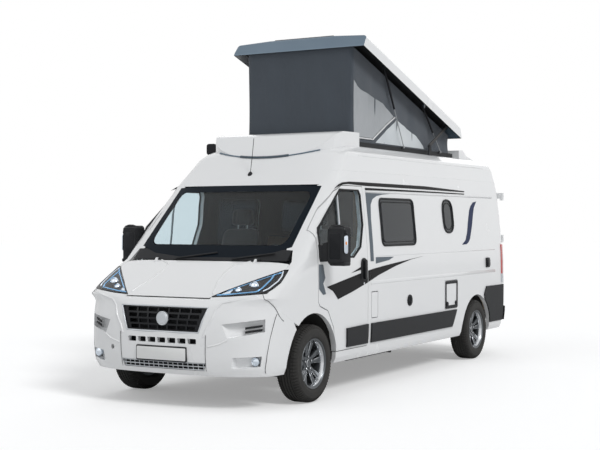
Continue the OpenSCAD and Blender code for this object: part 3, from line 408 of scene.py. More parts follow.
WHITE = finish("white_paint", (0.78, 0.79, 0.80), (0.82, 0.825, 0.83), 1.3, (0.22, 0.30),
               (900, 0.03, 0.0004), Coat_Weight=0.5, Coat_Roughness=0.06)
BLACK = finish("black_plastic", (0.018, 0.019, 0.021), (0.032, 0.033, 0.035), 6, (0.45, 0.62),
               (1400, 0.25, 0.0006), Specular_IOR_Level=0.12)
GLOSS = finish("gloss_black", (0.010, 0.011, 0.013), (0.016, 0.017, 0.020), 5, (0.08, 0.16),
               Specular_IOR_Level=0.16)
STRIPE = finish("black_film", (0.008, 0.008, 0.009), (0.013, 0.012, 0.013), 5, (0.30, 0.42),
                Specular_IOR_Level=0.06)
GREY_FILM = finish("grey_film", (0.075, 0.10, 0.125), (0.105, 0.13, 0.155), 6, (0.30, 0.42),
                   Specular_IOR_Level=0.2)
BLUE_FILM = finish("blue_film", (0.004, 0.013, 0.055), (0.008, 0.022, 0.080), 6, (0.30, 0.42),
                   Specular_IOR_Level=0.08)
STEEL = finish("grey_steel", (0.30, 0.31, 0.32), (0.42, 0.43, 0.44), 14, (0.28, 0.45), (300, 0.1, 0.0004),
               Metallic=0.9)
DARK = finish("dark_steel", (0.030, 0.030, 0.031), (0.06, 0.058, 0.055), 7, (0.5, 0.75), (120, 0.3, 0.001),
              Metallic=0.3)
UNDER = finish("underseal", (0.020, 0.020, 0.020), (0.042, 0.040, 0.037), 8, (0.75, 0.92), (180, 0.5, 0.002))
RUBBER = finish("tyre_rubber", (0.020, 0.020, 0.020), (0.045, 0.043, 0.040), 9, (0.62, 0.82),
                (500, 0.25, 0.0008), Specular_IOR_Level=0.25)
ALLOY = finish("anthracite_alloy", (0.085, 0.093, 0.10), (0.13, 0.14, 0.15), 8, (0.28, 0.40),
               (700, 0.08, 0.0003), Metallic=0.75)
BRIGHT = finish("polished_alloy", (0.52, 0.54, 0.56), (0.66, 0.67, 0.69), 12, (0.16, 0.28), Metallic=1.0)
CHROME = finish("bright_reflector", (0.62, 0.70, 0.80), (0.80, 0.85, 0.90), 30, (0.05, 0.14), Metallic=1.0)
SKY_BLUE = finish("light_guide", (0.10, 0.36, 0.72), (0.30, 0.58, 0.88), 40, (0.12, 0.22), Metallic=0.5)
SILVER = finish("silver_plastic", (0.52, 0.55, 0.58), (0.62, 0.64, 0.66), 8, (0.3, 0.42),
                (900, 0.08, 0.0003), Metallic=0.4)
PROFILE = finish("grey_profile", (0.115, 0.165, 0.215), (0.15, 0.205, 0.26), 3, (0.3, 0.42),
                 (400, 0.08, 0.0004), Metallic=0.35)
GLASS = finish("clear_glass", (0.74, 0.82, 0.85), (0.77, 0.85, 0.88), 2, (0.0, 0.01),
               Transmission_Weight=1.0, IOR=1.2)
FRIT = finish("screen_print", (0.004, 0.008, 0.013), (0.007, 0.011, 0.017), 4, (0.2, 0.3),
              Specular_IOR_Level=0.05)
TINTED = finish("tinted_acrylic", (0.020, 0.030, 0.040), (0.030, 0.042, 0.054), 2, (0.03, 0.06),
                Transmission_Weight=0.6, IOR=1.4, Specular_IOR_Level=0.25)
LENS = finish("lamp_lens", (0.93, 0.96, 0.98), (0.95, 0.97, 0.99), 3, (0.0, 0.015), Transmission_Weight=1.0,
              IOR=1.25)
RED_LENS = finish("red_lens", (0.42, 0.012, 0.012), (0.55, 0.02, 0.018), 20, (0.08, 0.14), Coat_Weight=0.5)
AMBER = finish("amber_lens", (0.80, 0.22, 0.01), (0.9, 0.3, 0.02), 20, (0.1, 0.16), Coat_Weight=0.4)
LINING = finish("dark_lining", (0.012, 0.013, 0.015), (0.022, 0.023, 0.026), 5, (0.8, 0.95),
                (700, 0.3, 0.001))
TENT = woven("tent_cloth", (0.034, 0.044, 0.058), (0.060, 0.074, 0.092), 0.003, 0.35, Sheen_Weight=0.25)
FILM = woven("silver_mesh", (0.30, 0.32, 0.34), (0.50, 0.52, 0.54), 0.004, 0.5, (0.35, 0.55), Metallic=0.2)
PALE_FILM = woven("clear_film", (0.50, 0.55, 0.58), (0.72, 0.75, 0.77), 0.006, 0.25, (0.2, 0.4))
PIPING = woven("white_tape", (0.72, 0.73, 0.74), (0.80, 0.80, 0.80), 0.002, 0.3)
SEAT = woven("seat_cloth", (0.024, 0.025, 0.028), (0.050, 0.051, 0.055), 0.003, 0.5, Sheen_Weight=0.3)
TICKING = woven("mattress_cloth", (0.42, 0.41, 0.39), (0.52, 0.51, 0.48), 0.004, 0.5, Sheen_Weight=0.2)
DASH = finish("soft_dash", (0.022, 0.023, 0.025), (0.035, 0.036, 0.038), 6, (0.6, 0.78),
              (1100, 0.35, 0.0008))
PLATE = finish("blank_plate", (0.74, 0.75, 0.75), (0.80, 0.80, 0.79), 8, (0.25, 0.35), Coat_Weight=0.3)
WOOD = finish("cabinet_wood", (0.36, 0.24, 0.14), (0.50, 0.36, 0.23), 3, (0.4, 0.55), (60, 0.15, 0.001))
TRIM = finish("cab_trim", (0.045, 0.052, 0.060), (0.070, 0.078, 0.086), 5, (0.7, 0.85), (800, 0.3, 0.0008))
LINER = finish("arch_liner", (0.010, 0.010, 0.010), (0.02, 0.019, 0.018), 8, (0.8, 0.95), (160, 0.5, 0.002))


# Body panels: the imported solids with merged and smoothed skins

def skin(node, body, paint, angle=32):
    """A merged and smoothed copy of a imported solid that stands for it."""
    source = frame["nodes"][node]
    take(source)
    OPS.object.duplicate()
    piece = bpy.context.active_object
    piece.name = node + "_skin"
    piece.data.name = piece.name
    OPS.object.parent_clear(type="CLEAR_KEEP_TRANSFORM")
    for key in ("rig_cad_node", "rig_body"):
        if key in piece:
            del piece[key]
    OPS.mesh.customdata_custom_splitnormals_clear()
    edit(piece)
    OPS.mesh.remove_doubles(threshold=SKIN_MERGE)
    OPS.mesh.dissolve_degenerate(threshold=SKIN_MERGE)
    OPS.mesh.tris_convert_to_quads(face_threshold=math.radians(1), shape_threshold=math.radians(180))
    clear()
    settle(piece, body, paint, angle, (node,))
    modify(piece, "WEIGHTED_NORMAL", keep_sharp=True, weight=60, mode="FACE_AREA")
    return piece


SKINS = {}
for node, body, paint, slot in (
        ("front_bumper", "body", WHITE, "white_paint"), ("wings", "body", WHITE, "white_paint"),
        ("bonnet", "bonnet", WHITE, "white_paint"), ("cab_frame", "body", WHITE, "white_paint"),
        ("cab_door_left", "cab_door_left", WHITE, "white_paint"),
        ("cab_door_right", "cab_door_right", WHITE, "white_paint"),
        ("side_panel_left", "body", WHITE, "white_paint"),
        ("side_panel_right", "body", WHITE, "white_paint"),
        ("sliding_door", "body", WHITE, "white_paint"), ("fuel_flap", "fuel_flap", WHITE, "white_paint"),
        ("service_hatch", "service_hatch", WHITE, "white_paint"),
        ("rear_door_left", "rear_door_left", WHITE, "white_paint"),
        ("rear_door_right", "rear_door_right", WHITE, "white_paint"),
        ("roof_panel", "body", WHITE, "white_paint"), ("roof_fairings", "body", WHITE, "white_paint"),
        ("roof_shell", "pop_roof", WHITE, "white_paint"), ("cowl", "body", BLACK, "black_plastic"),
        ("side_mouldings", "body", BLACK, "black_plastic"), ("rear_bumper", "body", BLACK, "black_plastic"),
        ("grille", "body", GLOSS, "black_plastic"), ("awning", "body", GLOSS, "black_plastic"),
        ("roof_rails", "body", BLACK, "black_plastic"), ("wheel_liners", "body", LINER, "black_plastic"),
        ("lift_arms", "lift_arms", DARK, "black_plastic"),
        ("front_strut_tubes", "front_tubes", GLOSS, "black_plastic"),
        ("rear_strut_tubes", "rear_tubes", GLOSS, "black_plastic"),
        ("front_strut_rods", "front_rods", STEEL, "grey_metal"),
        ("rear_strut_rods", "rear_rods", STEEL, "grey_metal"),
        ("chassis", "body", UNDER, "dark_metal"), ("floor_pan", "body", UNDER, "dark_metal"),
        ("engine_block", "body", DARK, "dark_metal"), ("front_suspension", "body", DARK, "dark_metal"),
        ("knuckle_left", "steer_left", STEEL, "grey_metal"),
        ("knuckle_right", "steer_right", STEEL, "grey_metal"),
        ("rear_axle", "body", DARK, "dark_metal"), ("tanks", "body", UNDER, "dark_metal"),
        ("exhaust", "body", STEEL, "grey_metal"), ("windscreen", "body", GLASS, "glass"),
        ("door_glass_left", "cab_door_left", GLASS, "glass"),
        ("door_glass_right", "cab_door_right", GLASS, "glass"),
        ("rear_glass_left", "rear_door_left", TINTED, "dark_window"),
        ("rear_glass_right", "rear_door_right", TINTED, "dark_window"),
        ("side_windows", "body", TINTED, "dark_window"), ("tail_lamps", "body", RED_LENS, "red_lamp"),
        ("headlamps", "body", LENS, "lamp"), ("wipers", "body", BLACK, "black_plastic"),
        ("mirror_left", "cab_door_left", BLACK, "black_plastic"),
        ("mirror_right", "cab_door_right", BLACK, "black_plastic"),
        ("dashboard", "body", DASH, "black_plastic"), ("furniture", "body", WOOD, "wood")):
    SKINS[node] = skin(node, body, paint)

# The roof shell: dark lining inside, grey profile along its front edge
TILT = math.radians(16.6)
SHELL_UP = Vector((0, math.sin(TILT), math.cos(TILT)))
SHELL_FRONT = Vector((0, -math.cos(TILT), math.sin(TILT)))
second_finish(SKINS["roof_shell"], LINING, lambda middle, normal: normal.dot(SHELL_UP) < -0.2)
second_finish(SKINS["roof_shell"], PROFILE, lambda middle, normal: normal.dot(SHELL_FRONT) > 0.75)


# Cab and living space are trimmed inside, and the doors carry the lower moulding
CAB_MIDDLE = Vector((0, -1.1, 1.3))
# A face is an inner one when it is turned inwards by this much
INWARDS = 0.3
# The hinge straps of the rear doors start here and keep the paint
STRAP_ROOT = 0.86
# Lower moulding of the cab doors: how far it stands out, its upper edge and its front end
MOULDING_OUT, MOULDING_TOP, MOULDING_FRONT = 0.004, 0.660, -1.420
for side, mark in ((1, "left"), (-1, "right")):
    for node in ["cab_door_" + mark, "side_panel_" + mark] + (["sliding_door"] if side < 0 else []):
        second_finish(SKINS[node], TRIM, lambda middle, normal: side * normal.x < -INWARDS)
    second_finish(SKINS["cab_door_" + mark], BLACK,
                  lambda middle, normal: abs(middle.x) > side_x(middle.z) + MOULDING_OUT
                  and middle.z < MOULDING_TOP and middle.y > MOULDING_FRONT)
    second_finish(SKINS["rear_door_" + mark], TRIM,
                  lambda middle, normal: normal.y < -INWARDS and abs(middle.x) < STRAP_ROOT)
second_finish(SKINS["roof_panel"], TRIM, lambda middle, normal: normal.z < -INWARDS)
second_finish(SKINS["cab_frame"], TRIM,
              lambda middle, normal: normal.dot((CAB_MIDDLE - middle).normalized()) > 0.35)


# Tail lamps: red, with a white part below

WHITE_TOP = 0.985
edit(SKINS["tail_lamps"])
OPS.mesh.bisect(plane_co=(0, 0, WHITE_TOP), plane_no=(0, 0, 1))
clear()
second_finish(SKINS["tail_lamps"], SILVER, lambda middle, normal: middle.z < WHITE_TOP)


# Windscreen with its printed border, and the frames of the windows

SCREEN_FRONT, SCREEN_REAR = -2.6, -1.2


def screen_cutter():
    """A block through the windscreen, as wide and high as its clear part."""
    outline = rounded(-0.752, 1.412, 0.752, 1.922, 0.08)
    return plate("screen_cutter", [(x, SCREEN_FRONT, z) for x, z in outline],
                 (0, SCREEN_REAR - SCREEN_FRONT, 0))


frit = copy_of(SKINS["windscreen"], "screen_border")
cut(frit, screen_cutter())
frit.data.materials.clear()
frit.data.materials.append(FRIT)
frit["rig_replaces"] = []
cut(SKINS["windscreen"], screen_cutter(), "INTERSECT")

# Living-space windows: side, front edge, lower edge, rear edge, upper edge, corner radius
WINDOWS = {"main": (1, -0.610, 1.380, 0.240, 1.875, 0.07),
           "small": (1, 1.014, 1.500, 1.324, 1.885, 0.12),
           "sliding": (-1, -0.686, 1.380, 0.164, 1.875, 0.07),
           "galley": (-1, 0.684, 1.500, 1.384, 1.875, 0.07)}
# Frame and seal of a window: name, inset from its edge, how much tighter the corner is, radius of the bar
WINDOW_BARS = (("_window_frame", 0.012, 0.010, 0.011), ("_window_seal", 0.045, 0.030, 0.006))


def frame_bar(name, outline, radius, body, paint, side, out):
    """A closed bead along an outline of the body side."""
    piece = loop(name, [(side * (side_x(z) + out), y, z) for y, z in outline], radius)
    return settle(piece, body, paint, 60)


for name, (side, y0, z0, y1, z1, r) in WINDOWS.items():
    for ending, inset, tighter, radius in WINDOW_BARS:
        frame_bar(name + ending, rounded(y0 + inset, z0 + inset, y1 - inset, z1 - inset, r - tighter),
                  radius, "body", BLACK, side, 0.003)


# Films on the sides

def film(name, outline, body, paint, side, front=None, rear=None, out=0.0012, thick=0.0008):
    """A sticker cut to an outline and pressed on the body side."""
    piece = trace(name, [(side_x(z), y, z) for y, z in outline])
    edit(piece)
    heights = [s[0] for s in SECTIONS if min(z for _, z in outline) < s[0] < max(z for _, z in outline)]
    for z in heights:
        OPS.mesh.select_all(action="SELECT")
        OPS.mesh.bisect(plane_co=(0, 0, z), plane_no=(0, 0, 1))
    OPS.mesh.select_all(action="SELECT")
    OPS.mesh.normals_make_consistent(inside=False)
    clear()
    if front is not None:
        trim(piece, (0, front, 0), (0, -1, 0))
    if rear is not None:
        trim(piece, (0, rear, 0), (0, 1, 0))
    for vertex in piece.data.vertices:
        vertex.co.x = side_x(vertex.co.z) + out
    edit(piece)
    OPS.mesh.extrude_region_move(TRANSFORM_OT_translate={"value": (thick, 0, 0)})
    OPS.mesh.select_all(action="SELECT")
    OPS.mesh.normals_make_consistent(inside=False)
    clear()
    if side < 0:
        edit(piece)
        OPS.transform.resize(value=(-1, 1, 1), center_override=(0, 0, 0))
        OPS.mesh.flip_normals()
        clear()
    return settle(piece, body, paint, 20)


SWOOSH = [(-1.807, 1.030), (-1.413, 1.087), (-1.094, 1.133), (-0.804, 1.168), (-0.444, 1.199),
          (-0.029, 1.230), (0.420, 1.262), (0.078, 1.233), (-0.310, 1.176), (-0.710, 1.098),
          (-0.995, 1.026), (-1.297, 0.959), (-1.586, 0.905), (-1.635, 0.948), (-1.684, 0.985)]
TOP_BAND = [(-1.535, 1.946), (-1.440, 1.985), (-1.362, 2.005), (-1.208, 2.018), (-0.841, 2.020),
            (0.619, 2.020), (1.760, 1.992), (1.745, 1.978), (0.597, 1.983), (-0.858, 1.984),
            (-1.230, 1.993), (-1.350, 1.986)]
LOW_BAND = [(PANEL_FRONT_Y, 1.966), (0.600, 1.966), (1.745, 1.962), (1.735, 1.950), (0.600, 1.950),
            (-0.300, 1.946), (PANEL_FRONT_Y, 1.942)]
POST_BAND = [(PANEL_FRONT_Y, 1.916), (-0.310, 1.916), (-0.500, 1.906), (-0.640, 1.888), (-0.737, 1.856),
             (-0.790, 1.800), (-0.812, 1.657), (-0.812, 1.240), (PANEL_FRONT_Y, 1.240)]
DOOR_DART = [(-1.309, 1.140), (-1.082, 1.197), (-1.000, 1.214), (-1.000, 1.184), (-1.084, 1.166)]
SIDE_DART = [(-0.765, 1.278), (-0.344, 1.273), (-0.458, 1.242), (-0.769, 1.214)]
HINGE_STRIP = [(-1.952, 1.242), (-1.869, 1.238), (-1.834, 1.114), (-1.875, 1.065), (-1.821, 0.966),
               (-1.876, 0.960), (-1.952, 1.017)]
S_STRIPE = [(2.106, 1.876), (1.990, 1.862), (1.900, 1.815), (1.848, 1.764), (1.780, 1.640),
            (1.716, 1.499), (1.654, 1.417), (1.536, 1.365), (1.668, 1.368), (1.740, 1.390),
            (1.797, 1.430), (1.890, 1.581), (1.960, 1.720), (2.010, 1.800)]
for side, door in ((1, "cab_door_left"), (-1, "cab_door_right")):
    mark = "left" if side > 0 else "right"
    film("swoosh_door_" + mark, SWOOSH, door, STRIPE, side, rear=DOOR_REAR_Y - 0.003)
    film("swoosh_post_" + mark, SWOOSH, "body", STRIPE, side, front=DOOR_REAR_Y + 0.008,
         rear=POST_REAR_Y - 0.001)
    film("swoosh_side_" + mark, SWOOSH, "body", STRIPE, side, front=POST_REAR_Y + 0.002)
    film("dart_door_" + mark, DOOR_DART, door, STRIPE, side)
    film("dart_side_" + mark, SIDE_DART, "body", GREY_FILM, side)
    film("top_band_" + mark, TOP_BAND, "body", STRIPE, side)
    film("low_band_" + mark, LOW_BAND, "body", STRIPE, side)
    film("post_band_" + mark, POST_BAND, "body", GREY_FILM, side)
    film("hinge_strip_" + mark, HINGE_STRIP, door, GREY_FILM, side)
    film("s_stripe_" + mark, S_STRIPE, "body", BLUE_FILM, side)


# Beads of the sides, and the runner of the sliding door

BEAD_REAR_Y = 2.600
SLIDER_REAR_Y = 0.360
LOW_BEAD_Z = 1.030
WAIST_Z = 1.290

def bead(name, y0, y1, z, half, thick, side):
    """A flat raised band along the body side."""
    piece = plate(name, [(side * (side_x(z + a) + b), y0, z + a)
                         for a, b in ((-half, -0.002), (-half * 0.6, thick), (half * 0.6, thick),
                                      (half, -0.002))],
                  (0, y1 - y0, 0), 0.0008, 1)
    return settle(piece, "body", WHITE, 50)


for side, mark in ((1, "left"), (-1, "right")):
    bead("gutter_" + mark, PANEL_FRONT_Y, 2.640, 1.931, 0.010, 0.010, side)
    bead("roof_bead_" + mark, -0.880, 2.560, 2.288, 0.007, 0.004, side)
    if side > 0:
        bead("low_bead_" + mark, PANEL_FRONT_Y, BEAD_REAR_Y, LOW_BEAD_Z, 0.022, 0.004, side)
        bead("waist_bead_" + mark, -0.720, BEAD_REAR_Y, WAIST_Z, 0.006, 0.003, side)
    else:
        bead("low_bead_" + mark, SLIDER_REAR_Y, BEAD_REAR_Y, LOW_BEAD_Z, 0.022, 0.004, side)
        bead("waist_bead_" + mark, SLIDER_REAR_Y, BEAD_REAR_Y, WAIST_Z, 0.006, 0.003, side)
        # runner of the sliding door
        section = ((0.004, 0), (-0.016, 0.004), (-0.016, 0.026), (0.004, 0.030))
        rail = plate("door_runner", [(-side_x(1.16) + a, 0.38, 1.145 + b) for a, b in section],
                     (0, 1.30, 0), 0.003)
        settle(rail, "body", BLACK)


# Cab doors: seals, quarter bars, handles and locks

DOOR_GLASS = [(-1.000, 1.600), (-1.000, 1.890), (-1.030, 1.936), (-1.420, 1.936), (-1.514, 1.868),
              (-1.898, 1.575), (-1.920, 1.530), (-1.920, 1.400), (-1.880, 1.315), (-1.240, 1.290),
              (-1.080, 1.385)]
QUARTER_LINE = [(-1.470, 1.905), (-1.480, 1.600), (-1.490, 1.305)]
HANDLE_Z = 1.16
LOCK_Y, LOCK_Z = -1.034, 1.030
LOCK_PROFILE = ((-0.003, 0.014), (0.003, 0.014), (0.005, 0.011), (0.005, 0.004), (0.004, 0))
for side, door, mark in ((1, "cab_door_left", "left"), (-1, "cab_door_right", "right")):
    frame_bar("glass_seal_" + mark, DOOR_GLASS, 0.011, door, BLACK, side, -0.006)
    bar = tube("quarter_bar_" + mark, [(side * (side_x(z) - 0.012), y, z) for y, z in QUARTER_LINE], 0.011)
    settle(bar, door, SILVER, 60)
    # handle: rounded dish with an upright grip
    x = side * side_x(HANDLE_Z)
    dish = plate("handle_dish_" + mark,
                 [(x - side * 0.004, y, z) for y, z in rounded(-1.100, 1.050, -0.968, 1.278, 0.060)],
                 (side * 0.009, 0, 0), 0.004)
    settle(dish, door, BLACK)
    grip = plate("handle_grip_" + mark,
                 [(x + side * 0.012, y, z) for y, z in rounded(-1.062, 1.068, -1.012, 1.262, 0.024)],
                 (side * 0.020, 0, 0), 0.006, 3)
    settle(grip, door, GLOSS)
    for z in (1.085, 1.245):
        outline = rounded(-1.055, z - 0.014, -1.019, z + 0.014, 0.012)
        foot = plate("handle_foot_%s_%d" % (mark, z * 100), [(x, y, c) for y, c in outline],
                     (side * 0.020, 0, 0), 0.002)
        settle(foot, door, BLACK)
    lock = turned("door_lock_" + mark, [(x + side * a, LOCK_Y, LOCK_Z + b) for a, b in LOCK_PROFILE],
                  (x, LOCK_Y, LOCK_Z), (1, 0, 0), 24)
    settle(lock, door, SILVER)


# Left side fittings

def disc(name, y, z, profile, body, paint, steps=32):
    """A round fitting on the left side, turned from a profile of height and radius."""
    x = side_x(z)
    piece = turned(name, [(x + a, y, z + r) for a, r in profile], (x, y, z), (1, 0, 0), steps)
    return settle(piece, body, paint)


FILLER_Y, FILLER_Z = 0.040, 0.806
filler_x = side_x(FILLER_Z)
disc("filler_ring", FILLER_Y, FILLER_Z,
     ((-0.004, 0.060), (0.010, 0.058), (0.012, 0.054), (0.012, 0.046), (0.004, 0.044), (0.004, 0.0)),
     "body", BLACK)
disc("filler_cap", FILLER_Y, FILLER_Z, ((0.004, 0.042), (0.014, 0.041), (0.017, 0.037), (0.016, 0.0)),
     "body", GLOSS)
key_bar = block("filler_key", (filler_x + 0.014, 0.032, 0.772), (filler_x + 0.024, 0.048, 0.840), 0.003)
settle(key_bar, "body", BLACK)

# Service hatch: front edge, lower edge, rear edge, upper edge
HATCH = (1.004, 0.655, 1.364, 0.962)
LATCH_Z = 0.706
LATCH_PROFILE = ((0.002, 0.026), (0.014, 0.026), (0.017, 0.022), (0.017, 0.010), (0.013, 0.008), (0.013, 0))
ring = trace("hatch_frame", [(HALF_W + 0.002, y, z) for y, z in rounded(*HATCH, 0.020)])
edit(ring)
OPS.mesh.inset(thickness=0.032)
OPS.mesh.delete(type="FACE")
OPS.mesh.select_all(action="SELECT")
OPS.mesh.extrude_region_move(TRANSFORM_OT_translate={"value": (0.005, 0, 0)})
OPS.mesh.select_all(action="SELECT")
OPS.mesh.normals_make_consistent(inside=False)
clear()
modify(ring, "BEVEL", width=0.002, segments=2, limit_method="ANGLE", angle_limit=math.radians(50))
settle(ring, "service_hatch", BLACK)
for y in (1.052, 1.316):
    disc("hatch_latch_%d" % (y * 1000), y, LATCH_Z, LATCH_PROFILE, "service_hatch", GLOSS)
INLET_Z = 1.137
inlet_x = side_x(INLET_Z)
inlet = block("power_inlet", (inlet_x - 0.004, 2.275, 1.080), (inlet_x + 0.018, 2.385, 1.195), 0.006)
settle(inlet, "body", BLACK)
lid = block("power_inlet_lid", (inlet_x + 0.014, 2.288, 1.092), (inlet_x + 0.030, 2.372, 1.176), 0.008)
settle(lid, "body", GLOSS)


# Rear doors: handle and lock on the right-hand door

KEYHOLE_X, KEYHOLE_Y, KEYHOLE_Z = -0.115, 2.958, 0.975
handle = block("rear_handle", (-0.190, 2.955, 1.010), (-0.040, 2.986, 1.062), 0.010, 3)
settle(handle, "rear_door_right", BLACK, 50)
keyhole = turned("rear_lock",
                 [(KEYHOLE_X + r, KEYHOLE_Y + b, KEYHOLE_Z)
                  for r, b in ((0.014, 0.0), (0.014, 0.010), (0.010, 0.013), (0, 0.013))],
                 (KEYHOLE_X, KEYHOLE_Y, KEYHOLE_Z), (0, 1, 0), 24)
settle(keyhole, "rear_door_right", SILVER)


# Wheels: one is modelled at the origin of its own axle and copied

LUGS = 72
SIPES = 60
SPOKE_PAIRS = 5
NUTS = 5
NUT_CIRCLE = 0.059
SPOKE_LEAN = math.radians(13.5)


def repeat(piece, count):
    """Repeats a piece at even steps round the axle."""
    edit(piece)
    OPS.mesh.spin(steps=count - 1, angle=2 * math.pi * (count - 1) / count, center=(0, 0, 0), axis=(1, 0, 0),
                  dupli=True)
    clear()
    return piece


def wheel_tyre(name):
    """Tyre with grooves, shoulder lugs and sipes, from a half profile of distance and radius."""
    half = [(0.0, 0.351), (0.010, 0.351), (0.010, 0.342), (0.020, 0.342), (0.020, 0.351), (0.040, 0.351),
            (0.040, 0.342), (0.050, 0.342), (0.050, 0.351), (0.0570, 0.3505), (0.0580, 0.344),
            (0.078, 0.338), (0.0965, 0.323), (0.1040, 0.312), (0.1092, 0.304), (0.1088, 0.302),
            (0.1105, 0.291), (0.1122, 0.278), (0.1112, 0.276), (0.1125, 0.266), (0.1090, 0.247),
            (0.1015, 0.233), (0.0960, 0.229), (0.0865, 0.218), (0.0625, 0.218), (0.0425, 0.256)]
    shoulder = ((0.0560, 0.340), (0.0560, 0.3508), (0.0800, 0.3455), (0.0985, 0.3275), (0.1020, 0.316),
                (0.0940, 0.316), (0.0740, 0.334))
    profile = [(-a, 0, r) for a, r in reversed(half[1:])] + [(a, 0, r) for a, r in half]
    tread = turned(name, profile, (0, 0, 0), (1, 0, 0), 90, "wire")
    lugs = []
    for side in (-1, 1):
        lug = plate(name + "_lug", [(side * a, -0.0085, r) for a, r in shoulder], (side * 0.004, 0.0165, 0))
        lugs.append(repeat(lug, LUGS))
    for mid in (-0.030, 0.0, 0.030):
        sipe = block(name + "_sipe", (mid - 0.0092, -0.0012, 0.3500), (mid + 0.0092, 0.0012, 0.3512))
        lugs.append(repeat(sipe, SIPES))
    return join(name, lugs + [tread])


def wheel_rim(name):
    """Rim with barrel, twin spokes, hub and nuts, from profiles of distance and radius."""
    section = ((-0.0865, 0.200), (-0.0865, 0.2177), (-0.0625, 0.2177), (-0.0465, 0.206), (0.0465, 0.206),
               (0.0625, 0.2177), (0.0865, 0.2177), (0.0985, 0.2285), (0.1020, 0.2262), (0.0990, 0.2150),
               (0.0900, 0.2060), (0.0560, 0.1930), (-0.0465, 0.192))
    barrel = turned(name, [(a, 0, r) for a, r in section], (0, 0, 0), (1, 0, 0), 72, "wire")
    spokes = []
    for side in (-1, 1):
        lean = side * SPOKE_LEAN
        flat = []
        for r, t, x in ((0.046, -0.016, 0.034), (0.110, -0.0195, 0.043), (0.1985, -0.0300, 0.060),
                        (0.2015, 0.0, 0.061), (0.1985, 0.0245, 0.060), (0.110, 0.0175, 0.043),
                        (0.046, 0.016, 0.034)):
            t *= side
            flat.append((x, r * math.sin(lean) + t * math.cos(lean),
                         r * math.cos(lean) - t * math.sin(lean)))
        spoke = plate(name + "_spoke", flat, (-0.030, 0, 0))
        modify(spoke, "BEVEL", width=0.0045, segments=2, limit_method="ANGLE", angle_limit=math.radians(60))
        spokes.append(repeat(spoke, SPOKE_PAIRS))
    hub = turned(name + "_hub", [(-0.028, 0, 0.074), (0.020, 0, 0.074), (0.034, 0, 0.066), (0.037, 0, 0.050),
                                 (0.036, 0, 0.036), (0.044, 0, 0.034), (0.047, 0, 0.029), (0.048, 0, 0.0)],
                 (0, 0, 0), (1, 0, 0), 40)
    nut = turned(name + "_nut",
                 [(a, 0.0, NUT_CIRCLE + r)
                  for a, r in ((0.030, 0.011), (0.045, 0.011), (0.049, 0.006), (0.049, 0.0))],
                 (0, 0, NUT_CIRCLE), (1, 0, 0), 6)
    repeat(nut, NUTS)
    return join(name, spokes + [hub, nut, barrel])


tyre_model = wheel_tyre("tyre_model")
rim_model = wheel_rim("rim_model")
for node, x, y in (("front_left", FRONT_WHEEL_X, FRONT_AXLE_Y),
                   ("front_right", -FRONT_WHEEL_X, FRONT_AXLE_Y),
                   ("rear_left", REAR_WHEEL_X, REAR_AXLE_Y),
                   ("rear_right", -REAR_WHEEL_X, REAR_AXLE_Y)):
    for model, part, paint, slot in ((tyre_model, "tyre_", RUBBER, "tyre"),
                                     (rim_model, "rim_", ALLOY, "rim")):
        if x > 0:
            piece = copy_of(model, part + node + "_full")
        else:
            piece = mirrored(model, part + node + "_full")
        edit(piece)
        OPS.transform.translate(value=(x, y, AXLE_Z))
        clear()
        settle(piece, "wheel_" + node, paint, 28, (part + node,))
        if part == "rim_":
            # the bevels of the spokes are polished
            out = 1 if x > 0 else -1
            second_finish(piece, BRIGHT,
                          lambda middle, normal: 0.25 < out * normal.x < 0.9
                          and 0.030 < out * (middle.x - x) < 0.075)
take(tyre_model, rim_model)
OPS.object.delete()


# Front end: what is inside the headlamps

def front_line(points, back):
    """Points on the nose from places seen from the front."""
    return [(x, nose_y(x, z) + back, z) for x, z in points]


GUIDE = ((0.490, 0.993), (0.62, 1.003), (0.74, 1.016), (0.83, 1.026), (0.850, 1.050), (0.858, 1.120),
         (0.850, 1.165))
GUIDE_EDGE = ((0.900, 1.190), (0.922, 1.150), (0.925, 1.110), (0.905, 1.050), (0.880, 1.030))
WEDGE = ((0.52, 1.000), (0.60, 1.008), (0.600, 1.040), (0.560, 1.030))
LAMP_BORDER = ((0.455, 0.981), (0.54, 1.026), (0.62, 1.066), (0.76, 1.134), (0.905, 1.201), (0.934, 1.203),
               (0.944, 1.150), (0.952, 1.098), (0.938, 1.050), (0.922, 1.014), (0.80, 1.002), (0.62, 0.988))


def sided(points, side):
    """Places seen from the front, on the left or on the right."""
    return [(side * x, z) for x, z in points]


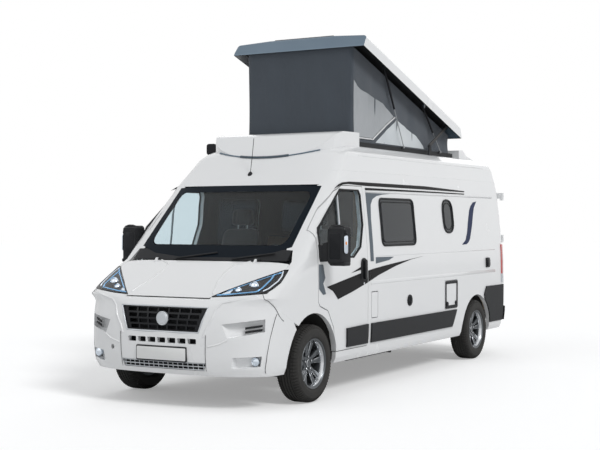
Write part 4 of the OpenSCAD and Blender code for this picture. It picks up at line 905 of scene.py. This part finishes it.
housing = copy_of(SKINS["headlamps"], "lamp_housing")
housing["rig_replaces"] = []
for side in (1, -1):
    edit(housing, False)
    mesh = bmesh.from_edit_mesh(housing.data)
    for vertex in mesh.verts:
        vertex.select_set(vertex.co.x * side > 0)
    mesh.select_flush(True)
    bmesh.update_edit_mesh(housing.data)
    OPS.transform.translate(value=(-side * 0.006, 0.014, -0.008))
    clear()
housing.data.materials.clear()
housing.data.materials.append(GLOSS)
for side, mark in ((1, "left"), (-1, "right")):
    guide = tube("light_guide_" + mark, front_line(sided(GUIDE, side), 0.009), 0.008)
    settle(guide, "body", SKY_BLUE, 60)
    strip = tube("light_edge_" + mark, front_line(sided(GUIDE_EDGE, side), 0.012), 0.009)
    settle(strip, "body", CHROME, 60)
    for x, z, r in ((0.655, 1.030, 0.026), (0.760, 1.068, 0.036)):
        y = nose_y(x, z) + 0.030
        profile = ((r * 1.35, -0.008), (r * 1.25, -0.016), (r, -0.012), (r * 0.92, -0.018),
                   (r * 0.7, -0.026), (r * 0.4, -0.031), (0, -0.033))
        eye = turned("lamp_eye_%s_%d" % (mark, x * 1000), [(side * x + a, y + b, z) for a, b in profile],
                     (side * x, y, z), (0, 1, 0), 28)
        settle(eye, "body", CHROME)
    wedge = plate("lamp_wedge_" + mark, front_line(sided(WEDGE, side), 0.012), (0, 0.010, 0), 0.002)
    settle(wedge, "body", CHROME)
    # dark rim round the lamp
    border = loop("lamp_border_" + mark, front_line(sided(LAMP_BORDER, side), 0.004), 0.006)
    settle(border, "body", GLOSS, 60)


# Front end: seams, creases and openings of bonnet and bumper

def finer(points, parts):
    """The same line with each stretch divided into parts."""
    line = []
    for (a0, b0), (a1, b1) in zip(points, points[1:]):
        line += [(a0 + (a1 - a0) * i / parts, b0 + (b1 - b0) * i / parts) for i in range(parts)]
    return line + [points[-1]]


SEAMS = {"wing_seam": ((0.894, 1.015), (0.951, 0.949), (0.979, 0.862), (0.9995, 0.770)),
         "bumper_seam": ((0.980, 0.835), (0.956, 0.648), (0.932, 0.459), (0.911, 0.333)),
         "panel_seam": ((0.455, 0.655), (0.452, 0.519), (0.448, 0.345))}
BONNET_CREASE = ((0.440, 1.000), (0.372, 1.094), (0.345, 1.186), (0.364, 1.235), (0.494, 1.268))
BUMPER_BROW = ((0.430, 0.640), (0.455, 0.706), (0.509, 0.797), (0.535, 0.880), (0.587, 0.933), (0.759, 0.968),
               (0.880, 0.985))
BUMPER_LIP = ((0.470, 0.556), (0.572, 0.581), (0.650, 0.620))
LAMP_BROW = ((0.560, 1.026), (0.700, 1.092), (0.850, 1.160), (0.895, 1.182))
SCOOP = ((0.595, 0.752), (0.650, 0.632), (0.925, 0.688), (0.925, 0.796))
SCOOP_SLOT = ((0.775, 0.728), (0.895, 0.748), (0.895, 0.728), (0.775, 0.708))
SLOT_PITCH = 0.034
FOG_RECESS = ((0.676, 0.385), (0.700, 0.372), (0.890, 0.392), (0.905, 0.480), (0.690, 0.468))
FOG_PROFILE = ((0.038, 0.006), (0.038, -0.012), (0.034, -0.016), (0.030, -0.012), (0.018, -0.016),
               (0, -0.018))


def crease(name, points, radius, back, paint, body="body"):
    """A line along the nose: a groove where it is dark, a raised edge where it is painted."""
    piece = tube(name, front_line(finer(points, 6), back), radius)
    return settle(piece, body, paint, 60)


for side, mark in ((1, "left"), (-1, "right")):
    for name, line in SEAMS.items():
        crease("%s_%s" % (name, mark), sided(line, side), 0.0022, 0.0008, LINING)
    crease("bonnet_crease_" + mark, sided(BONNET_CREASE, side), 0.009, 0.006, WHITE, "bonnet")
    crease("bumper_brow_" + mark, sided(BUMPER_BROW, side), 0.011, 0.006, WHITE)
    crease("bumper_lip_" + mark, sided(BUMPER_LIP, side), 0.010, 0.006, WHITE)
    crease("lamp_brow_" + mark, sided(LAMP_BROW, side), 0.006, 0.010, SKY_BLUE)


def pocket(name, outline, depth, shrink, paint):
    """A recessed dish behind an opening of the bumper."""
    piece = plate(name, front_line(outline, 0.006), (0, depth, 0))
    edit(piece, False)
    deepest = max(v.co.y for v in piece.data.vertices) - depth * 0.3
    pick_faces(lambda middle, normal: normal.y > 0.5)
    middle = [sum(p[i] for p in outline) / len(outline) for i in (0, 1)]
    OPS.transform.resize(value=(shrink, 1, shrink), center_override=(middle[0], deepest, middle[1]))
    pick_faces(lambda middle, normal: normal.y < -0.5)
    OPS.mesh.delete(type="FACE")
    OPS.mesh.select_all(action="SELECT")
    OPS.mesh.flip_normals()
    clear()
    modify(piece, "SOLIDIFY", thickness=0.003, offset=-1)
    return settle(piece, "body", paint, 40)


for side, mark in ((1, "left"), (-1, "right")):
    pocket("side_scoop_" + mark, sided(SCOOP, side)[::side], 0.050, 0.86, WHITE)
    for row in (0, 1):
        outline = [(side * x, z - SLOT_PITCH * row) for x, z in SCOOP_SLOT]
        slot_bar = plate("scoop_slot_%s_%d" % (mark, row), front_line(outline, 0.040), (0, 0.012, 0), 0.002)
        settle(slot_bar, "body", BLACK)
    pocket("fog_recess_" + mark, sided(FOG_RECESS, side)[::side], 0.055, 0.85, WHITE)
    x, z = side * 0.845, 0.432
    y = nose_y(x, z) + 0.050
    fog = turned("fog_lamp_" + mark, [(x + a, y + b, z) for a, b in FOG_PROFILE], (x, y, z), (0, 1, 0), 28)
    settle(fog, "body", CHROME)


# Front end: dark plate of painted shade behind the openings, frame of the grille, blank round boss, lower
# grille, blank plate

GRILLE_FRAME = ((0.462, 0.890), (0.30, 0.892), (0.0, 0.893), (-0.30, 0.892), (-0.462, 0.890), (-0.420, 0.780),
                (-0.382, 0.673), (-0.20, 0.671), (0.20, 0.671), (0.382, 0.673), (0.420, 0.780))
BOSS_Z = 0.785
BOSS_PROFILE = ((0.062, 0.014), (0.062, -0.004), (0.056, -0.010), (0.050, -0.008), (0.046, -0.012),
                (0, -0.013))
# The dark plate behind the openings stands for the shade inside them: painted shade
shade_plate = plate("intake_backing",
                front_line([(-0.50, 0.90), (-0.40, 0.33), (0.40, 0.33), (0.50, 0.90)], 0.075), (0, 0.006, 0))
settle(shade_plate, "body", LINING)
surround = loop("grille_surround", front_line(GRILLE_FRAME, 0.006), 0.009)
settle(surround, "body", SILVER, 60)
boss_y = nose_y(0, BOSS_Z) + 0.012
boss = turned("blank_boss", [(a, boss_y + b, BOSS_Z) for a, b in BOSS_PROFILE],
              (0, boss_y, BOSS_Z), (0, 1, 0), 40)
settle(boss, "body", SILVER)
bars = []
for z in (0.352, 0.380, 0.408):
    bars.append(tube("lower_bar", front_line([(a * 0.05, z) for a in range(-9, 10)], 0.016), 0.0045))
for a in range(-8, 9):
    bars.append(tube("lower_rib", front_line([(a * 0.052, 0.346), (a * 0.052, 0.414)], 0.018), 0.0035))
lower = join("lower_grille", bars)
settle(lower, "body", SILVER, 60)
PLATE_Y = nose_y(0, 0.479) - 0.004
holder = plate("plate_holder", [(x, PLATE_Y, z) for x, z in rounded(-0.268, 0.411, 0.268, 0.547, 0.012)],
               (0, 0.016, 0), 0.003)
settle(holder, "body", BLACK)
number = plate("blank_number_plate",
               [(x, PLATE_Y - 0.003, z) for x, z in rounded(-0.260, 0.424, 0.260, 0.534, 0.010)],
               (0, 0.004, 0), 0.001)
settle(number, "body", PLATE)


# Mirrors: panes, hood, elbow, lip, front panel and lamps

HOOD_LINE = ((1.098, 1.572), (1.140, 1.584), (1.190, 1.585), (1.222, 1.575), (1.240, 1.552), (1.247, 1.515))
ELBOW = ((0.984, 1.262), (1.085, 1.268), (1.085, 1.446), (1.040, 1.440), (0.990, 1.392))
AMBER_X, AMBER_Y, AMBER_Z = 1.2580, -1.906, 1.436
for side, door, mark in ((1, "cab_door_left", "left"), (-1, "cab_door_right", "right")):
    def at(x, y, z):
        """A place on this side of the van."""
        return (side * x, y, z)
    for name, z0, z1 in (("upper", 1.352, 1.574), ("lower", 1.254, 1.332)):
        pane = plate("mirror_pane_%s_%s" % (name, mark),
                     [at(x, -1.820, z) for x, z in rounded(1.083, z0, 1.236, z1, 0.022)],
                     (0, 0.004, 0), 0.001)
        settle(pane, door, CHROME)
    hood = tube("mirror_hood_" + mark, [at(x, -1.900, z) for x, z in HOOD_LINE], 0.019, 4)
    settle(hood, door, GLOSS, 60)
    elbow = plate("mirror_elbow_" + mark, [at(x, -1.932, z) for x, z in ELBOW], (0, 0.066, 0), 0.014, 3)
    settle(elbow, door, BLACK, 50)
    ends = at(1.100, -1.934, 1.230), at(1.258, -1.812, 1.266)
    lip = block("mirror_lip_" + mark, [min(c) for c in zip(*ends)], [max(c) for c in zip(*ends)], 0.013, 3)
    settle(lip, door, BLACK, 50)
    panel = plate("mirror_panel_" + mark,
                  [at(x, -1.944, z) for x, z in rounded(1.104, 1.290, 1.214, 1.530, 0.020)],
                  (0, 0.012, 0), 0.004)
    settle(panel, door, GLOSS)
    lamp = plate("mirror_lamp_" + mark,
                 [at(1.2480, y, z) for y, z in rounded(-1.930, 1.342, -1.868, 1.505, 0.020)],
                 (side * 0.010, 0, 0), 0.003)
    settle(lamp, door, CHROME)
    amber = turned("mirror_amber_" + mark,
                   [at(AMBER_X + a, AMBER_Y, AMBER_Z + r)
                    for a, r in ((-0.004, 0.017), (0.002, 0.015), (0.004, 0.0))],
                   at(AMBER_X, AMBER_Y, AMBER_Z), (1, 0, 0), 20)
    settle(amber, door, AMBER)


# Roof: painted shade line under the front fairing, aerial, vent on the shell

# Front fairing: half width, its foremost place behind the nose, how far its corners sweep back
FAIRING_HALF, FAIRING_SETBACK, FAIRING_SWEEP = 0.745, 1.735, 0.46


def fairing_foot(turn):
    """Where the fairing's curved front meets the forehead, at a share of its half width."""
    x = FAIRING_HALF * math.sin(turn)
    y = NOSE_Y + FAIRING_SETBACK + FAIRING_SWEEP * (1 - math.cos(turn) ** 0.55)
    low, high = 2.0, 2.38
    for _ in range(24):
        z = (low + high) / 2
        low, high = (z, high) if nose_y(x, z) < y else (low, z)
    return (x, y - 0.004, z + 0.004)


# Dark lines along the fairing's lower edge: painted shade in the gap where the fairing overhangs the forehead
for name, first, last, radius, paint in (("middle", -22, 22, 0.013, GREY_FILM),
                                         ("right", -52, -20, 0.006, PROFILE),
                                         ("left", 20, 52, 0.006, PROFILE)):
    shade_line = tube("fairing_gap_" + name,
                    [fairing_foot(math.radians(a)) for a in range(first, last + 1, 2)], radius)
    settle(shade_line, "body", paint, 60)

AERIAL_X, AERIAL_Z = -0.05, 2.100
AERIAL_PROFILE = ((0.028, -0.030), (0.026, 0.002), (0.016, 0.016), (0.007, 0.026), (0, 0.027))
aerial_y = nose_y(AERIAL_X, AERIAL_Z)
foot = turned("aerial_foot", [(AERIAL_X + a, aerial_y + 0.006, AERIAL_Z + b) for a, b in AERIAL_PROFILE],
              (AERIAL_X, aerial_y + 0.006, AERIAL_Z), (0, 0, 1), 24)
settle(foot, "body", BLACK)
mast = tube("aerial_mast", [(AERIAL_X, aerial_y + 0.006, 2.120), (AERIAL_X, aerial_y + 0.040, 2.280),
                            (AERIAL_X, aerial_y + 0.070, 2.458)], 0.003)
settle(mast, "body", BLACK, 60)
SHELL_REAR_Y, SHELL_REAR_Z = 2.048, 2.635
SHELL_REAR = Vector((0, SHELL_REAR_Y, SHELL_REAR_Z))


def on_shell(x, along, up):
    """A place on the raised shell, measured forwards and upwards from its rear edge."""
    return Vector((x, 0, 0)) + SHELL_REAR + SHELL_FRONT * along + SHELL_UP * up


vent = plate("roof_vent",
             [on_shell(x, d, 0.160) for x, d in ((-0.36, 2.20), (0.36, 2.20), (0.36, 2.66), (-0.36, 2.66))],
             SHELL_UP * 0.030, 0.010, 3)
settle(vent, "pop_roof", BLACK)


# Tent: one sheet round the opening, with film panels in its sides

TENT_X = 0.636
TENT_FRONT = -0.565
TENT_REAR = 2.027
TENT_LOW = 2.4553
TENT_MIDDLE = 0.7
FOLD_DEPTH = 0.013
# Where the folds of the sides and of the ends start
SIDE_SEED, END_SEED = 0.7, 2.0
TENT_EDGE = 0.045
FILM_EDGE = 0.03
ROWS = 26


def tent_top(y):
    """Height of the tent's upper edge, just inside the raised shell."""
    return SHELL_REAR_Z + (SHELL_REAR_Y - y) * math.tan(TILT) + 0.018


def ripple(along, t, seed):
    """Depth of the cloth's folds inwards, fading at the rails."""
    swell = math.sin(math.pi * min(max(t, 0.0), 1.0)) ** 0.6
    folds = math.sin(along * 9.0 + seed) * 0.35 + math.sin(along * 21.0 + 2.1 * seed + 2.0 * t) * 0.25
    fine = math.sin(along * 47.0 + 3.0 * t + seed) * 0.14 + math.sin(along * 90.0 - 5.0 * t) * 0.07
    return FOLD_DEPTH * swell * (0.65 + folds + fine)


def tent_x(y, z):
    """Outer place of the tent's side at a point."""
    return TENT_X - ripple(y, (z - TENT_LOW) / (tent_top(y) - TENT_LOW), SIDE_SEED)


corners = rounded(TENT_FRONT, -TENT_X, TENT_REAR, TENT_X, 0.050, 4)
tent = trace("tent_cloth", [(x, y, 0.0) for y, x in corners], "wire")
edit(tent)
for cuts in (3, 3, 1):
    OPS.mesh.select_all(action="DESELECT")
    mesh = bmesh.from_edit_mesh(tent.data)
    for line in mesh.edges:
        line.select_set(line.calc_length() > TENT_EDGE)
    bmesh.update_edit_mesh(tent.data)
    OPS.mesh.subdivide(number_cuts=cuts)
OPS.mesh.select_all(action="SELECT")
for row in range(ROWS):
    OPS.mesh.extrude_edges_move(TRANSFORM_OT_translate={"value": (0, 0, 1 / ROWS)})
OPS.mesh.select_all(action="SELECT")
OPS.mesh.normals_make_consistent(inside=False)
clear()
for vertex in tent.data.vertices:
    x, y, t = vertex.co
    if abs(x) > TENT_X - 0.030:
        shift = Vector((-math.copysign(ripple(y, t, SIDE_SEED), x), 0, 0))
    else:
        shift = Vector((0, math.copysign(ripple(x, t, END_SEED), TENT_MIDDLE - y), 0))
    vertex.co = Vector((x, y, TENT_LOW + t * (tent_top(y) - TENT_LOW))) + shift
settle(tent, "body", TENT, 60, ("canvas",))


def tent_panel(name, outline, paint, side, out):
    """A film panel that follows the tent's side."""
    piece = trace(name, [(TENT_X, y, z) for y, z in outline])
    edit(piece)
    ys, zs = [p[0] for p in outline], [p[1] for p in outline]
    for low, high, normal in ((min(ys), max(ys), (0, 1, 0)), (min(zs), max(zs), (0, 0, 1))):
        for step in range(1, int((high - low) / FILM_EDGE)):
            OPS.mesh.select_all(action="SELECT")
            OPS.mesh.bisect(plane_co=[c * (low + FILM_EDGE * step) for c in normal], plane_no=normal)
    clear()
    for vertex in piece.data.vertices:
        vertex.co.x = side * (tent_x(vertex.co.y, vertex.co.z) + out)
    edit(piece)
    OPS.mesh.normals_make_consistent(inside=False)
    clear()
    settle(piece, "body", paint, 60)
    return piece


def tent_tape(name, points, side):
    """A tape sewn on the tent's side."""
    piece = tube(name, [(side * (tent_x(y, z) + 0.006), y, z) for y, z in finer(points, 8)], 0.008)
    return settle(piece, "body", PIPING, 60)


MESH_WINDOW = [(-0.520, 3.090), (-0.450, 3.040), (-0.368, 3.005), (0.186, 2.902), (0.432, 2.777),
               (-0.090, 2.513), (-0.520, 2.513)]
FILM_CORNER = [(-0.022, 2.470), (0.518, 2.754), (1.043, 2.603), (1.233, 2.506), (1.250, 2.470)]
for side, mark in ((1, "left"), (-1, "right")):
    panel = tent_panel("mesh_window_" + mark, MESH_WINDOW, FILM, side, 0.0025)
    panel_low = tent_panel("film_corner_" + mark, FILM_CORNER, PALE_FILM, side, 0.0025)
    tape = tent_tape("window_tape_" + mark, [(-0.520, 2.500), (-0.090, 2.500), (0.450, 2.772)], side)
    for piece in (panel, panel_low, tape):
        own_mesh(piece)
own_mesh(tent)


# Cab inside: instrument hood and screen

INSTRUMENTS = ((-1.925, 1.320), (-1.892, 1.395), (-1.815, 1.398), (-1.795, 1.295))
hood = plate("instrument_hood", [(0.250, y, z) for y, z in INSTRUMENTS], (0.360, 0, 0), 0.020, 3)
settle(hood, "body", DASH, 50)
screen = block("centre_screen", (-0.120, -1.770, 1.230), (0.110, -1.745, 1.360), 0.008)
settle(screen, "body", GLOSS)


# Cab seats: plinths with padded cushions, backs and headrests

def stuffed(name, low, high, crown, towards):
    """A padded block between two levels (half width, front, rear, height), crowned upwards or forwards."""
    piece = block(name, (-1, -1, -1), (1, 1, 1))
    edit(piece)
    OPS.mesh.subdivide(number_cuts=13)
    clear()
    for vertex in piece.data.vertices:
        place = vertex.co.copy()
        size = sum(abs(c) ** 6 for c in place) ** (1 / 6)
        place *= max(abs(c) for c in place) / size
        u, v, w = place
        share = (w + 1) / 2
        half, front, rear, height = [a + (b - a) * share for a, b in zip(low, high)]
        place = Vector((u * half, (front + rear) / 2 + v * (rear - front) / 2, height))
        groove = 0.014 * math.exp(-((abs(u) - 0.60) / 0.07) ** 2)
        if towards == "up":
            place.z += max(0, w) * (crown * (1 - u ** 2) * (1 - v ** 2) - groove * (1 - v ** 4))
        else:
            place.y += min(0, v) * (crown * (1 - u ** 2) * (1 - w ** 2) - groove * (1 - w ** 4))
        vertex.co = place
    return piece


SEAT_AT = (0.430, -1.320)
for side, mark in ((1, "left"), (-1, "right")):
    plinth = block("seat_plinth_" + mark, (-0.200, -0.220, 0.5603), (0.200, 0.220, 0.862), 0.015)
    posts = [tube("seat_post", [(x, 0.345, 1.520), (x, 0.362, 1.640)], 0.007) for x in (-0.055, 0.055)]
    metal = join("headrest_posts_" + mark, posts)
    soft = [stuffed("seat_cushion_" + mark, (0.250, -0.265, 0.240, 0.858), (0.238, -0.280, 0.240, 0.980),
                    0.028, "up"),
            stuffed("seat_back_" + mark, (0.250, 0.190, 0.310, 0.950), (0.215, 0.300, 0.385, 1.555), 0.034,
                    "front"),
            stuffed("seat_headrest_" + mark, (0.130, 0.325, 0.395, 1.590), (0.112, 0.335, 0.390, 1.755),
                    0.020, "front")]
    for piece, paint, slot in [(plinth, BLACK, "black_plastic"),
                               (metal, STEEL, "grey_metal")] + [(p, SEAT, "seat") for p in soft]:
        edit(piece)
        OPS.transform.translate(value=(side * SEAT_AT[0], SEAT_AT[1], 0))
        clear()
        settle(piece, "body", paint, 60, ("cab_seats",))
    for piece in soft:
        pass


# Living space: bench cushion and mattress over the furniture's upper faces

BENCH_X, BENCH_TOP = 0.652, 1.000
BED_LOW, BED_TOP = 1.080, 1.180
PROUD = 0.005
bench = stuffed("bench_cushion", (0.300, -0.834, -0.246, BENCH_TOP - 0.090),
                (0.300, -0.834, -0.246, BENCH_TOP + PROUD), 0.020, "up")
edit(bench)
OPS.transform.translate(value=(BENCH_X, 0, 0))
clear()
mattress = stuffed("mattress", (0.957, 1.449, 2.804, BED_LOW + PROUD),
                   (0.957, 1.449, 2.804, BED_TOP + PROUD), 0.014, "up")
for piece, paint in ((bench, SEAT), (mattress, TICKING)):
    settle(piece, "body", paint, 60)


def under_mattress(middle, normal):
    """The furniture's faces that the mattress covers: the bed's sides and its top."""
    on_side = BED_LOW < middle.z < BED_TOP + 0.001 and 1.44 < middle.y and abs(normal.z) < 0.5
    on_top = middle.z > BED_TOP - 0.001 and 1.46 < middle.y and normal.z > 0.9
    return on_side or on_top


second_finish(SKINS["furniture"], TICKING, under_mattress)


# Light, floor and camera

# The photograph's camera: its place, its turn in degrees and its lens in millimetres
CAMERA_AT = (6.246, -11.588, 1.623)
CAMERA_TURN = (89.88, 0, 29.45)
CAMERA_LENS = 72.47
# Lamps: name, strength, spread and turn in degrees
SUNS = (("key", 1.40, 18, (48, 0, 68)), ("fill", 0.25, 40, (55, 0, -35)), ("back", 0.35, 40, (55, 0, 200)))


def studio():
    """A pale floor that fades into a white surround, three soft suns and the camera."""
    clear()
    OPS.mesh.primitive_plane_add(size=120, location=(0, 0, 0))
    floor = fresh("floor")
    pale = bpy.data.materials.new("pale_floor")
    pale.use_nodes = True
    nodes, links = pale.node_tree.nodes, pale.node_tree.links
    shader = nodes["Principled BSDF"]
    shader.inputs["Roughness"].default_value = 1.0
    shader.inputs["Specular IOR Level"].default_value = 0.0
    seen = nodes.new("ShaderNodeLightPath")
    shader.inputs["Base Color"].default_value = (0.86, 0.86, 0.86, 1)
    shader.inputs["Emission Color"].default_value = (1, 1, 1, 1)
    lift = nodes.new("ShaderNodeMath")
    lift.operation = "MULTIPLY"
    lift.inputs[1].default_value = 0.30
    links.new(seen.outputs["Is Camera Ray"], lift.inputs[0])
    links.new(lift.outputs["Value"], shader.inputs["Emission Strength"])
    floor.data.materials.append(pale)

    world = bpy.data.worlds.new("studio")
    bpy.context.scene.world = world
    world.use_nodes = True
    nodes, links = world.node_tree.nodes, world.node_tree.links
    soft = nodes["Background"]
    soft.inputs["Color"].default_value = (0.96, 0.98, 1.0, 1)
    soft.inputs["Strength"].default_value = 0.42
    white = nodes.new("ShaderNodeBackground")
    white.inputs["Color"].default_value = (1, 1, 1, 1)
    white.inputs["Strength"].default_value = 1.0
    path = nodes.new("ShaderNodeLightPath")
    seen = nodes.new("ShaderNodeMath")
    seen.operation = "MAXIMUM"
    links.new(path.outputs["Is Camera Ray"], seen.inputs[0])
    links.new(path.outputs["Is Glossy Ray"], seen.inputs[1])
    through = nodes.new("ShaderNodeMath")
    through.operation = "MAXIMUM"
    links.new(seen.outputs["Value"], through.inputs[0])
    links.new(path.outputs["Is Transmission Ray"], through.inputs[1])
    either = nodes.new("ShaderNodeMixShader")
    links.new(through.outputs["Value"], either.inputs["Fac"])
    links.new(soft.outputs["Background"], either.inputs[1])
    links.new(white.outputs["Background"], either.inputs[2])
    links.new(either.outputs["Shader"], nodes["World Output"].inputs["Surface"])

    for name, strength, spread, turn in SUNS:
        OPS.object.light_add(type="SUN", location=(0, 0, 8), rotation=[math.radians(a) for a in turn])
        lamp = bpy.context.active_object
        lamp.name = name
        lamp.data.energy = strength
        lamp.data.angle = math.radians(spread)

    OPS.object.camera_add(location=CAMERA_AT, rotation=[math.radians(a) for a in CAMERA_TURN])
    camera = bpy.context.active_object
    camera.data.sensor_fit = "HORIZONTAL"
    camera.data.sensor_width = 36
    camera.data.lens = CAMERA_LENS
    camera.data.clip_end = 400
    camera.data.dof.use_dof = False
    bpy.context.scene.camera = camera
    bpy.context.scene.view_settings.view_transform = "Standard"


studio()
clear()
